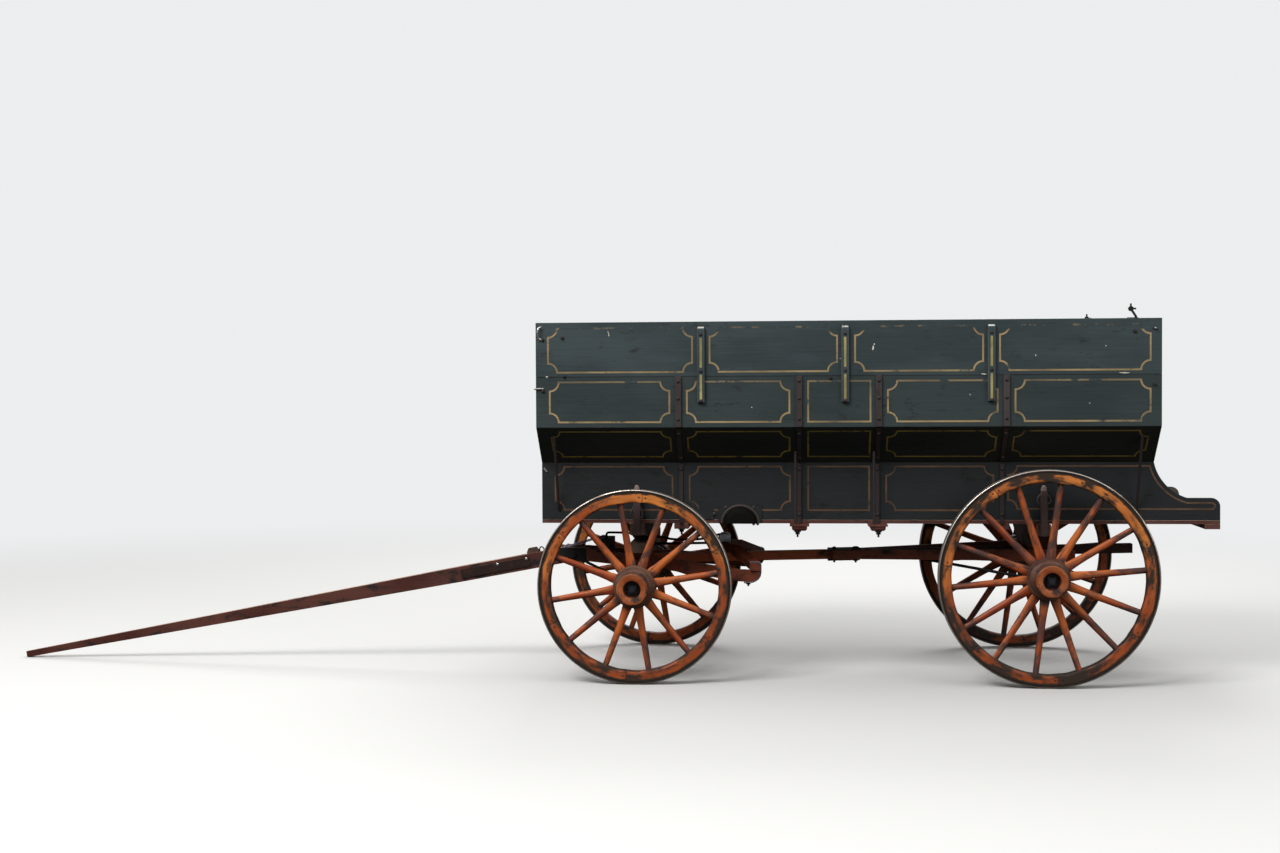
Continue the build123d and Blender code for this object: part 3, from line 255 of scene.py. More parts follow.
# The hound tie is drawn near black.
tie_black = painted_wood("near_black_paint_on_the_hound_tie", "#1b1615 #272020 #100d0c #4b3d32", 0.52, 0.76, gloss=0.5)
# The faded orange of felloes and spokes also serves as painted sunlight on the parts that face up.
felloe_orange = painted_wood(
    "orange_paint_on_felloes_faded_and_painted_sunlit", "#a84d1e #dc8236 #36261a #7a5f48", 0.47, 0.7, chip_size=0.02, gloss=0.5,
    brush_depth=0.22, grime_blend=0.15)
spoke_orange = painted_wood(
    "orange_paint_on_spokes_faded_and_painted_sunlit", "#963c18 #cc6a2a #53352e #7d6450", 0.475, 0.71, chip_size=0.018,
    brush_depth=0.18, grime_blend=0.17)
hub_maroon = painted_wood(
    "maroon_paint_on_elm_hub", "#553528 #70503f #30201a #7d6756", 0.53, 0.71, chip_size=0.02, grime_blend=0.16)
band_orange = painted_wood(
    "orange_paint_on_the_hub_nose", "#9c4a20 #b8683a #33221b #6e5a4b", 0.47, 0.64, chip_size=0.012,
    brush_depth=0.16, grime_blend=0.14)
tongue_red = painted_wood("dark_red_paint_on_ash_tongue", "#52281f #613428 #1d1413 #7d6a5a", 0.5, 0.71)
# Painted highlight: the tongue's pale top, worn and lit from above.
tongue_top_worn_and_highlit = painted_wood("tongue_top_worn_pale_with_painted_highlight", "#b88f7d #cfae9e #55392f #c4b3a2", 0.57, 0.58)
# Painted sunlight: the pale tops of the hounds, worn and lit from above.
hound_top_worn_and_sunlit = painted_wood("hound_top_worn_pale_with_painted_sunlight", "#a58d83 #b9a69a #54413a #c6b7a8", 0.56, 0.6)

# Bare woods: light, dark and stains
inside_pine = bare_wood("greyed_pine_inside_the_box", "#8f8475 #655a4d #4a4138")
floor_pine = bare_wood("worn_floor_planks", "#9a8d7b #6b5f50 #4f453a")
# Painted highlight: the near-white tops of the cleats, bleached wood lit by the sky.
cleat_top_bleached_and_highlit = bare_wood("bleached_cleat_ends_with_painted_highlight", "#e4e2dc #bdbab2 #8d8a82")
# Painted highlights: near-white chips, some standing for bright sky seen through gaps in the seam.
chips_and_painted_glints = bare_wood("fresh_chips_and_painted_glints_in_the_paint", "#fbf8f0 #d8cdbb #c2b6a2")

# Irons: skin and rust, then rust_from, roughness and metallic
black_iron = forged_iron("forge_black_iron", "#191716 #2f2019", 0.58)
strap_iron = forged_iron("painted_strap_iron", "#33292a #44312c", 0.56, 0.5, 0.2)
stake_iron = forged_iron("red_painted_stake_iron", "#4a3737 #5a4038", 0.56, 0.5, 0.15)
tip_iron = forged_iron("stake_tips_rubbed_pale", "#8d7775 #5f4c45", 0.58, 0.45, 0.2)
ring_iron = forged_iron("stake_rings_rubbed_grey", "#565150 #4a3a33", 0.54, 0.42, 0.6)
# Painted shade: the rub iron's dome drawn near black, as dark as a recess in the side.
shade_black_iron = forged_iron("plate_iron_darkened_as_painted_shade", "#14130f #1c1712", 0.62, 0.7, 0.8)
bead_iron = forged_iron("bead_of_the_rub_iron", "#433b37 #4c3d33", 0.6, 0.6, 0.3)
tongue_iron = forged_iron("browned_strap_iron", "#2e1c17 #43261d", 0.52, 0.55, 0.3)
# Painted sheen: the rubbed hound straps are drawn light purple-blue, the sky's reflection on black iron.
jaw_strap_iron_with_painted_sheen = forged_iron("hound_straps_rubbed_with_painted_blue_sheen", "#978ca4 #3a2e33", 0.54, 0.4, 0.3)
rusty_iron = forged_iron("rusty_hammer_strap", "#5d463e #7c5240", 0.46, 0.5, 0.35)
arm_iron = forged_iron("greased_axle_nut", "#33363a #231d1a", 0.6, 0.4, 0.6)
tyre_side = forged_iron("rusted_tyre_side", "#2c2019 #463324", 0.52, 0.62, 0.2)

# Steels: bright and brown, then brown_from and roughness
crown_steel = worn_steel("crown_iron_rubbed_bright", "#ccd3df #5b5450", 0.6, 0.34, speck=0.04)
bright_lip = worn_steel("hub_band_lip_worn_bright", "#a09a94 #5f4234", 0.42)
bright_steel = worn_steel("steel_worn_bright", "#d2cec9 #6b564a", 0.66, 0.3)
blue_steel = worn_steel("sway_iron_rubbed_blue", "#98a0ad #3a3230", 0.55, 0.3)
tyre_steel = worn_steel("tyre_tread_worn_by_the_road", "#d6cac0 #8b7263", 0.56, 0.36, speck=0.16)

# Striping paints: the line and what is under it, then gone_from
ochre_line = line_paint("ochre_striping_paint", "#ac946a #343f41", 0.57)
# Painted shade: darker lines over darker greens on the lower board and the flare; the lower line also browned by
# dirt.
shaded_lower_line = line_paint("striping_paint_browned_by_dirt_and_painted_shade", "#684c36 #1f2324", 0.54)
shaded_flare_line = line_paint("striping_paint_on_the_flare_with_painted_shade", "#8a7433 #10130f", 0.56)
cream_line = line_paint("yellow_line_on_cleats", "#b3a566 #353f41")

# Making pieces


def make_piece(name, points, faces, materials, body, slot, grain=None, choose=None, sharp=35.0, stands_for=(),
               soil=None, sun=None):
    """A mesh in its place, closed and facing outwards, which rides on a body.

    grain holds, for each point, its place along the wood's grain and across it; without it the wood runs along X.
    choose gives each face the number of its material. Edges sharper than sharp degrees stay crisp. soil and sun
    say, for each point, how much more than elsewhere dirt has settled there and how much lighter the paint is
    drawn: for fading, and on the wheels for painted sunlight.
    """
    points = np.asarray(points, float).reshape(-1, 3)
    mesh = bpy.data.meshes.new(name)
    mesh.from_pydata(points.tolist(), [], faces)
    for material in materials:
        mesh.materials.append(material)
    along = points if grain is None else np.asarray(grain, float).reshape(-1, 3)
    mesh.attributes.new("grain", "FLOAT_VECTOR", "POINT").data.foreach_set("vector", along.ravel())
    for label, spread in (("soil", soil), ("sun", sun)):
        if spread is not None:
            values = np.ascontiguousarray(np.broadcast_to(np.asarray(spread, float).ravel(), len(points)))
            mesh.attributes.new(label, "FLOAT", "POINT").data.foreach_set("value", values)
    if choose is not None:
        mesh.polygons.foreach_set("material_index", np.asarray(choose, np.int32))
    shell = bmesh.new()
    shell.from_mesh(mesh)
    bmesh.ops.recalc_face_normals(shell, faces=shell.faces)
    shell.to_mesh(mesh)
    shell.free()
    mesh.polygons.foreach_set("use_smooth", np.ones(len(mesh.polygons), bool))
    mesh.set_sharp_from_angle(angle=math.radians(sharp))
    piece = bpy.data.objects.new(name, mesh)
    bpy.context.scene.collection.objects.link(piece)
    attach(piece, body)
    if stands_for:
        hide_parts(*stands_for)
    return piece


def skin(loops, ring=False):
    """Faces over loops of points, an array of (shells, loops, points round a loop, 3).

    Each face joins two neighbouring points on two neighbouring loops. The ends are closed by a face each, or the
    last loop joins the first one where the loops make a ring.
    """
    shells, rows, around = np.asarray(loops).shape[:3]
    row = np.arange(rows if ring else rows - 1)[:, None]
    column = np.arange(around)[None, :]
    beside = (column + 1) % around
    above = (row + 1) % rows * around
    quads = np.stack([row * around + column, row * around + beside, above + beside, above + column], -1)
    starts = np.arange(shells)[:, None, None] * rows * around
    faces = (quads.reshape(1, -1, 4) + starts).reshape(-1, 4).tolist()
    if not ring:
        end = np.arange(around)[None, :]
        faces += (end[:, ::-1] + starts[:, 0]).tolist()
        faces += (end + (rows - 1) * around + starts[:, 0]).tolist()
    return faces


def closed_shell(loops, ring=False):
    """The points and faces of one shell over (loops, points round a loop, 3)."""
    return loops.reshape(-1, 3), skin(loops[None], ring)


def full_turn(steps):
    """Angles evenly round a circle."""
    return np.linspace(0, 2 * np.pi, steps, endpoint=False)


def stacked(*parts):
    """Points from their x, y and z, spread to one shape."""
    return np.stack(np.broadcast_arrays(*parts), -1)


def joined(shells):
    """Several (points, faces) as one, each one's faces counted on from the points before it."""
    points, faces, count = [], [], 0
    for shell_points, shell_faces in shells:
        flat = np.asarray(shell_points, float).reshape(-1, 3)
        points.append(flat)
        faces += [[corner + count for corner in face] for face in shell_faces]
        count += len(flat)
    return np.concatenate(points), faces


def both_sides(shells):
    """Left shells and their mirror images on the wagon's right side, where Y has the other sign."""
    return shells + [(np.asarray(points, float) * (1, -1, 1), faces) for points, faces in shells]


def fitting(name, shells, material, body="wagon", slot="black_iron", **more):
    """Several (points, faces) as one piece of one material."""
    make_piece(name, *joined(shells), [material], body, slot, **more)


def unit(vector):
    """A direction of length 1."""
    vector = np.asarray(vector, float)
    return vector / np.linalg.norm(vector, axis=-1, keepdims=True)


def bar(path, radius, across, sides=10, flat=1.0, ring=False):
    """Round or oval bar along a path: each loop is centre + radius * (cos a * across + flat * sin a * beside).

    With ring, the last loop joins the first one.
    """
    path = np.asarray(path, float)
    ahead = unit(np.roll(path, -1, 0) - np.roll(path, 1, 0)) if ring else unit(np.gradient(path, axis=0))
    across = unit(across) + 0 * ahead
    beside = unit(np.cross(ahead, across))
    across = np.cross(beside, ahead)
    angle = full_turn(sides)[None, :, None]
    width = np.broadcast_to(np.asarray(radius, float), len(path))[:, None, None]
    loops = path[:, None] + width * (np.cos(angle) * across[:, None] + flat * np.sin(angle) * beside[:, None])
    return closed_shell(loops, ring)


def studs(places, facing, profile, sides=12):
    """Bolt heads, nuts and pins: a profile of (radius, height) turned round the facing direction at each place."""
    places = np.asarray(places, float).reshape(-1, 3)
    facing = unit(facing)
    across = unit(np.cross(facing, (0.0, 0.0, 1.0) if abs(facing[2]) < 0.9 else (1.0, 0.0, 0.0)))
    beside = np.cross(facing, across)
    angle = full_turn(sides)[None, None, :, None]
    radius, height = np.asarray(profile, float).T
    loops = (places[:, None, None] + height[None, :, None, None] * facing
             + radius[None, :, None, None] * (np.cos(angle) * across + np.sin(angle) * beside))
    return loops.reshape(-1, 3), skin(loops)


def smooth_path(corners, count):
    """Points on a smooth curve through corners: cubics whose slope at a corner is that between its neighbours."""
    corners = np.asarray(corners, float)
    padded = np.vstack([2 * corners[0] - corners[1], corners, 2 * corners[-1] - corners[-2]])
    place = np.linspace(0, len(corners) - 1, count)
    span = np.minimum(place.astype(int), len(corners) - 2)
    t = (place - span)[:, None]
    p0, p1, p2, p3 = (padded[span + i] for i in range(4))
    return 0.5 * (2 * p1 + (p2 - p0) * t + (2 * p0 - 5 * p1 + 4 * p2 - p3) * t ** 2
                  + (3 * p1 - p0 - 3 * p2 + p3) * t ** 3)


GRAIN_ORDER = {"x": [0, 1, 2], "y": [1, 0, 2], "z": [2, 1, 0]}
ARRIS_ANGLE = 30.0
SAME_POINT = 2e-5


def eased(node, materials, ease, along, choose=None, soil=None):
    """A copy of a CAD node with its arrises eased, in place of the node.

    Coincident points are merged and flat triangles joined. A Bevel of the width ease then rounds every edge
    sharper than ARRIS_ANGLE degrees, and its faces take the second material where there is one. along is the axis
    of the wood's grain. choose gives the material of each face from the faces' normals and middles, soil the level
    of dirt from the points.
    """
    source = nodes[node].data
    points = np.empty(len(source.vertices) * 3)
    source.vertices.foreach_get("co", points)
    corners = np.empty(len(source.loops), np.int32)
    source.loops.foreach_get("vertex_index", corners)
    shell = bmesh.new()
    rough = bpy.data.meshes.new(node + "_rough")
    rough.from_pydata(points.reshape(-1, 3).tolist(), [], corners.reshape(-1, 3).tolist())
    shell.from_mesh(rough)
    bmesh.ops.remove_doubles(shell, verts=shell.verts, dist=SAME_POINT)
    bmesh.ops.dissolve_limit(shell, angle_limit=math.radians(1.0), verts=shell.verts, edges=shell.edges)
    shell.to_mesh(rough)
    shell.free()
    clean = np.empty(len(rough.vertices) * 3)
    rough.vertices.foreach_get("co", clean)
    clean = clean.reshape(-1, 3)
    faces = [list(face.vertices) for face in rough.polygons]
    normals = np.array([face.normal for face in rough.polygons])
    middles = np.array([face.center for face in rough.polygons])
    bpy.data.meshes.remove(rough)
    piece = make_piece(node + "_eased", clean, faces, materials, body_of[node], slot_of[node],
                       grain=clean[:, GRAIN_ORDER[along]], choose=choose and choose(normals, middles),
                       sharp=ARRIS_ANGLE, stands_for=(node,), soil=soil and soil(clean))
    bevel = piece.modifiers.new("eased_arrises", "BEVEL")
    bevel.width = ease
    bevel.segments = 2
    bevel.limit_method = "ANGLE"
    bevel.angle_limit = math.radians(ARRIS_ANGLE)
    bevel.harden_normals = True
    if len(materials) > 1:
        bevel.material = 1


X_AXIS = np.array((1.0, 0.0, 0.0))
Z_AXIS = np.array((0.0, 0.0, 1.0))
LEFT = np.array((0.0, -1.0, 0.0))

# Profiles of heads and nuts: radius and height over the face they sit on, from the middle outwards and down
ROUND_HEAD = [(0.0, 0.0052), (0.004, 0.005), (0.0075, 0.0036), (0.0095, 0.0012), (0.0098, -0.002)]
SMALL_RIVET = [(0.0, 0.002), (0.0026, 0.0017), (0.0044, 0.0005), (0.0046, -0.002)]
SMALL_NUT = [(0.0, 0.012), (0.0045, 0.0115), (0.005, 0.0105), (0.005, 0.0075), (0.0085, 0.007), (0.0095, 0.006),
             (0.0095, -0.001)]
NUT_ON_STUB = [(0.0, 0.019), (0.0052, 0.0185), (0.0058, 0.0175), (0.0058, 0.0095), (0.0118, 0.009),
               (0.0138, 0.0075), (0.0138, -0.001)]
WASHER_AND_NUT = [(0.0, 0.033), (0.005, 0.0325), (0.006, 0.031), (0.006, 0.0185), (0.0125, 0.018),
                  (0.0135, 0.0165), (0.0135, 0.006), (0.02, 0.0058), (0.02, -0.001)]

# Wheels

TRACK_HALF = -(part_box("front_left_tyre")[0].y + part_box("front_left_tyre")[1].y) / 2
TYRE_THICKNESS = 0.012
TYRE_HALF = 0.032
FELLOE_HALF = 0.029
FELLOE_DEPTH = 0.057
HUB_SEAT = 0.111
SPOKE_TENON = 0.008
DISH = 0.022
RING_STEPS = 72
TYRE_STEPS = 180


class Wheel:
    """Where one wheel stands and which way it faces (side -1 is left, 1 right), its spokes and felloe joints.

    first_spoke and first_joint are turns from straight up towards the tail. splashed is the dirt that the rear
    wheels have on top of the front ones' level.
    """

    def __init__(self, axle, side_name, spokes, first_spoke, first_joint):
        low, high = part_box(f"{axle}_{side_name}_tyre")
        self.name = f"{axle}_{side_name}"
        self.centre_x = (low.x + high.x) / 2
        self.centre_z = (low.z + high.z) / 2
        self.radius = (high.x - low.x) / 2
        self.side = -1 if side_name == "left" else 1
        self.spokes = spokes
        self.first_spoke = math.radians(first_spoke)
        self.first_joint = math.radians(first_joint)
        self.rim_radius = self.radius - TYRE_THICKNESS
        self.splashed = 0.035 if axle == "rear" else 0.0

    def at(self, angle, radius, out):
        """Points at an angle from straight up, at a radius from the axis and a distance out from the track."""
        return stacked(self.centre_x + radius * np.sin(angle), self.side * (TRACK_HALF + out),
                       self.centre_z + radius * np.cos(angle))

    def turned(self, profile, steps=RING_STEPS):
        """Closed ring: a closed profile of (out, radius) turned once round the axis."""
        out, radius = np.asarray(profile, float).T
        return closed_shell(self.at(full_turn(steps)[:, None], radius[None, :], out[None, :]), ring=True)

    def piece(self, name, points, faces, materials, slot, node=None, **more):
        """A piece that turns with the wheel, in place of the wheel's node of that name if one is given."""
        make_piece(f"{self.name}_{name}", points, faces, materials, f"{self.name}_wheel", slot,
                   stands_for=(f"{self.name}_{node}",) if node else (), **more)


def felloes(wheel):
    """The wooden rim: a rounded section carried round the axis.

    The inner corners are rounded, fully between two spokes and a third as much beside a spoke or a joint, as a
    spokeshave leaves them. At each joint between two felloes the section draws in by 1.4 mm over 2 mm, a V-shaped
    seam. The face wanders by half a millimetre.
    """
    joints = wheel.spokes // 2
    step = 2 * np.pi / joints
    seam = np.array([0.0, 0.0012, 0.003]) / wheel.rim_radius
    clear = 0.012 / wheel.rim_radius
    one = np.concatenate([seam, np.linspace(clear, step - clear, 22), step - seam[:0:-1]])
    angle = (one[None, :] + step * np.arange(joints)[:, None]).ravel()
    to_joint = np.abs((angle + step / 2) % step - step / 2) * wheel.rim_radius
    to_spoke = np.abs(angle % (step / 2) - step / 4) * wheel.rim_radius
    room = np.clip((np.minimum(to_spoke - 0.03, to_joint - 0.012)) / 0.03, 0, 1)
    rounding = 0.005 + 0.009 * room * room * (3 - 2 * room)
    draw_in = 0.0014 * np.clip(1 - to_joint / 0.002, 0, 1)
    wander = 0.0005 * (np.sin(angle * 7 + 0.4) + np.sin(angle * 17 + 1.3))
    corner = np.linspace(0, np.pi / 2, 5)[None, :]
    r = rounding[:, None]
    half = (FELLOE_HALF - draw_in + wander * 0.5)[:, None]
    inner = (wheel.rim_radius - FELLOE_DEPTH + draw_in + wander)[:, None]
    outer = (wheel.rim_radius - draw_in)[:, None]
    # The section's flat faces have a row of points 12 mm above the rounding and one 16 mm below the tyre, so that
    # dirt can keep to its edges.
    edge, clean_from, stained = 0.004, 0.012, 0.016
    out = np.hstack([-half + 0 * r, -half + r * (1 - np.cos(corner)), half - r * (1 - np.cos(corner[:, ::-1])),
                     half, half, half, half - edge, -half + edge, -half, -half])
    radius = np.hstack([inner + r + clean_from, inner + r * (1 - np.sin(corner)),
                        inner + r * (1 - np.sin(corner[:, ::-1])), inner + r + clean_from,
                        outer - stained, outer - edge, outer, outer, outer - edge, outer - stained])
    turn = angle[:, None] + wheel.first_joint
    part = np.floor(angle / step)[:, None]
    grain = stacked(angle[:, None] * wheel.rim_radius + part * 3.1, radius, out + part * 0.7)
    # Road dirt keeps beside the tyre, round the spokes' ends and the joints, and in longer stretches of the rim.
    beside_tyre = 0.3 * np.clip((radius - wheel.rim_radius + 0.016) / 0.012, 0, 1)
    inner_edge = 0.1 * np.clip((wheel.rim_radius - FELLOE_DEPTH + 0.006 - radius) / 0.006, 0, 1)
    beside_spoke = 0.04 * np.clip(1 - to_spoke / 0.03, 0, 1) + 0.08 * np.clip(1 - to_joint / 0.01, 0, 1)
    stretches = inner_edge + 0.04 * np.sin(turn * 2 + wheel.spokes) + 0.03 * np.sin(turn * 5 + 1.9 * wheel.spokes)
    soil = beside_tyre + beside_spoke[:, None] + stretches + wheel.splashed - 0.03 * np.cos(turn)
    # Painted sunlight: the felloes that stand on top where it parks are drawn lighter, each one a little
    # differently.
    sun = -0.07 + 0.17 * np.cos(turn - 0.15) + 0.03 * np.sin(part * 2.4 + wheel.spokes) + 0 * radius
    wheel.piece("felloes", *closed_shell(wheel.at(turn, radius, out), ring=True), [felloe_orange], "wheel_paint",
                "rim", grain=grain, sharp=40, soil=soil, sun=sun)


def spokes(wheel):
    """Spokes that lean out from the hub to the rim.

    Each loop is a superellipse across the spoke, |a/w|^n + |b/t|^n = 1: boxy (n = 5) at the hub's seat, a pointed
    oval along the leg (n = 2.3) and round at the felloe. The half width w, the half thickness t and n follow
    tables over the share of the leg's length.
    """
    inner = HUB_SEAT - SPOKE_TENON
    outer = wheel.rim_radius - FELLOE_DEPTH + 0.012
    share = np.array([0.0, 0.03, 0.06, 0.11, 0.18, 0.3, 0.45, 0.62, 0.78, 0.9, 0.95, 1.0])
    measured = [0, 0.05, 0.12, 0.25, 0.5, 0.8, 1.0]
    width = np.interp(share, measured, [50, 50, 45, 39, 36, 32.5, 31]) / 2000
    thickness = np.interp(share, measured, [38, 38, 35, 32, 31, 31, 30]) / 2000
    power = np.interp(share, [0, 0.06, 0.2, 1.0], [5, 4, 2.3, 2.0])
    c, s = np.cos(full_turn(16)), np.sin(full_turn(16))
    bend = 2 / power[:, None]
    a = np.sign(c) * np.abs(c) ** bend * width[:, None]
    b = np.sign(s) * np.abs(s) ** bend * thickness[:, None]
    out = -DISH * (1 - share)
    angle = wheel.first_spoke + np.arange(wheel.spokes) * 2 * np.pi / wheel.spokes
    reach = (inner + (outer - inner) * share)[None, :, None]
    turn = angle[:, None, None]
    loops = stacked(wheel.centre_x + reach * np.sin(turn) + a * np.cos(turn),
                    wheel.side * (TRACK_HALF + (out[:, None] + b)[None]),
                    wheel.centre_z + reach * np.cos(turn) - a * np.sin(turn))
    apart = np.arange(wheel.spokes)[:, None, None]
    grain = stacked(reach + apart * 1.7, a[None] + apart * 0.9, b[None])
    # Rubbed and dirty in the outer half and at the felloe, brighter near the hub; each spoke has its own share.
    # Painted sunlight: the side of a spoke that faces up where it parks is drawn lighter and with less dirt.
    own = 0.03 * np.sin(angle * 3.7 + wheel.spokes)[:, None, None]
    outer_half = np.interp(share, [0, 0.04, 0.2, 0.55, 0.85, 1.0], [0.06, 0.0, -0.04, 0.03, 0.04, 0.12])
    painted_sunlit_side = 0.08 * np.clip(-a[None] * np.sin(turn) / 0.014, -1, 1)
    soil = outer_half[None, :, None] + own + wheel.splashed - 0.4 * painted_sunlit_side
    near_hub = np.interp(share, [0, 0.1, 0.35, 0.6, 1.0], [0.0, 0.1, 0.06, -0.04, -0.06])
    sun = near_hub[None, :, None] + own + painted_sunlit_side
    wheel.piece("spokes", loops, skin(loops), [spoke_orange], "wheel_paint", grain=grain, sharp=50, soil=soil,
                sun=sun)


# Turned profile of the hub, (out, radius) in millimetres: back face, coves and beads, the seat of the spokes, the
# front taper, the nose and the hole in it. The nose's four faces from NOSE_FACES on are painted orange.
HUB_PROFILE = [
    (-130, 42), (-130, 84), (-127, 88), (-104, 88), (-101, 90.5), (-97, 91.5), (-93, 90.5), (-90, 88.5), (-84, 91),
    (-76, 99), (-66, 107), (-62, 109), (18, 109), (22, 107), (32, 103), (38, 98), (42, 96.5), (46, 97), (50, 95.5),
    (54, 90), (60, 84.5), (68, 81), (76, 79.5), (82, 78), (86, 79.2), (90, 78), (122, 77), (149, 77), (151, 75),
    (151.5, 70), (151, 49), (149, 46), (96, 46), (94, 44), (94, 30)]
NOSE_FACES = 28
# Hoops, in millimetres: out from, out to, inner radius, outer radius at the first edge and at the last one
HUB_HOOPS = [(-82, -62, 92, 103, 111.5), (18, 36, 92, 111.5, 105), (-129, -106, 84, 92, 92)]
# Nose band, (out, radius) in millimetres, and how much of a notch each point of the profile takes
BAND_PROFILE = [(127, 72), (127, 80), (128.5, 81), (146, 81), (150, 80.5), (152, 78), (152, 71), (150, 70)]
BAND_WEAR = [0, 0, 0, 0.3, 1, 1, 0.6, 0]
# Notches in the band's lip: where in radians, depth in millimetres, half width in radians
BAND_NOTCHES = [(0.9, 4.5, 0.1), (2.1, 3.5, 0.07), (3.1, 3.0, 0.05), (4.0, 5.0, 0.13), (5.2, 3.0, 0.06)]


def hub(wheel):
    """Turned elm hub with coves and beads, and its iron: two hoops beside the spokes, a back band and a nose band.

    Every part is a profile of (out, radius) turned round the axis. The nose band's edge is chipped: its radius
    dips by depth * exp(-(turn from the notch / half width)^2) at each of a few notches round the circle.
    """
    profile = np.array(HUB_PROFILE) / 1000
    points, faces = wheel.turned(profile)
    angle = full_turn(RING_STEPS)[:, None]
    out, radius = profile.T
    grain = stacked(out, np.cos(angle) * radius, np.sin(angle) * radius)
    row = np.arange(len(faces)) % len(profile)
    wheel.piece("hub_wood", points, faces, [hub_maroon, band_orange], "red_paint", "hub", grain=grain,
                choose=(row >= NOSE_FACES) & (row < NOSE_FACES + 4))

    hoops = [np.array([(first, low), (first, top_first - 1), (first + 1.2, top_first), (last - 1.2, top_last),
                       (last, top_last - 1), (last, low)]) / 1000
             for first, last, low, top_first, top_last in HUB_HOOPS]
    wheel.piece("hub_hoops", *joined([wheel.turned(section) for section in hoops]), [hub_maroon], "black_iron")

    band = np.array(BAND_PROFILE) / 1000
    angle = full_turn(96)
    notch = sum(depth * np.exp(-((angle - place + np.pi) % (2 * np.pi) - np.pi) ** 2 / spread ** 2)
                for place, depth, spread in BAND_NOTCHES)
    radius = band[None, :, 1] - notch[:, None] * np.array(BAND_WEAR) / 1000
    points, faces = closed_shell(wheel.at(angle[:, None], radius, band[None, :, 0]), ring=True)
    row = np.arange(len(faces)) % len(band)
    wheel.piece("nose_band", points, faces, [hub_maroon, bright_lip, band_orange], "black_iron",
                choose=np.select([row == 3, row == 4, row == 5], [1, 2, 2], 0))


def tyre(wheel):
    """Flat steel tyre with rounded edges and a tread worn slightly hollow: the sides are another material."""
    half, rim, tread = TYRE_HALF, wheel.rim_radius, wheel.radius
    edge = [(half * 0.6, tread), (half - 0.003, tread - 0.0006), (half - 0.0008, tread - 0.003),
            (half, tread - 0.006), (half - 0.001, rim - 0.0005)]
    profile = [(-out, radius) for out, radius in edge[::-1]] + edge
    points, faces = wheel.turned(profile, TYRE_STEPS)
    row = np.arange(len(faces)) % len(profile)
    wheel.piece("tyre_steel", points, faces, [tyre_steel, tyre_side], "worn_iron", "tyre", sharp=60,
                choose=np.where((row >= 1) & (row <= 7), 0, 1))


def felloe_rivets(wheel):
    """Rivets 18 mm beside each joint, on both faces of the felloes."""
    joints = wheel.spokes // 2
    shells = []
    for beside in (-0.018, 0.018):
        angle = wheel.first_joint + np.arange(joints) * (2 * np.pi / joints) + beside / wheel.rim_radius
        for face in (-1, 1):
            places = wheel.at(angle, wheel.rim_radius - FELLOE_DEPTH / 2, face * (FELLOE_HALF + 0.0002))
            shells.append(studs(places, (0, face * wheel.side, 0), SMALL_RIVET, 10))
    wheel.piece("felloe_rivets", *joined(shells), [tyre_side], "black_iron")


for axle, count, first_spoke, first_joint in (("front", 12, 20.5, 5.5), ("rear", 14, 7.5, 20.357)):
    for side_name in ("left", "right"):
        wheel = Wheel(axle, side_name, count, first_spoke, first_joint)
        for make in (felloes, spokes, hub, tyre, felloe_rivets):
            make(wheel)

# Boards, timbers and irons with eased arrises


def third(test):
    """The third material goes on the faces whose normals n and middles m pass a test, the first on the others."""
    return {"choose": lambda n, m: np.where(test(n, m), 2, 0)}


# Boards: darker greens low down and on the second board are painted shade; lighter edges are wear and highlight.
for side_name in ("left", "right"):
    for board, paint, rubbed in (("lower_side", shaded_lower_green, shaded_lower_edge),
                                 ("flare_board", shaded_flare_green, shaded_flare_green),
                                 ("second_board", second_board_green_with_painted_shade, green_edge_wear_and_highlight),
                                 ("top_board", board_green, green_edge_wear_and_highlight)):
        eased(f"{board}_{side_name}", [paint, rubbed, inside_pine], 0.0022, "x",
              **third(lambda n, m: n[:, 1] * -np.sign(m[:, 1]) > 0.5))

RUB_PLATE_Y = 0.5135

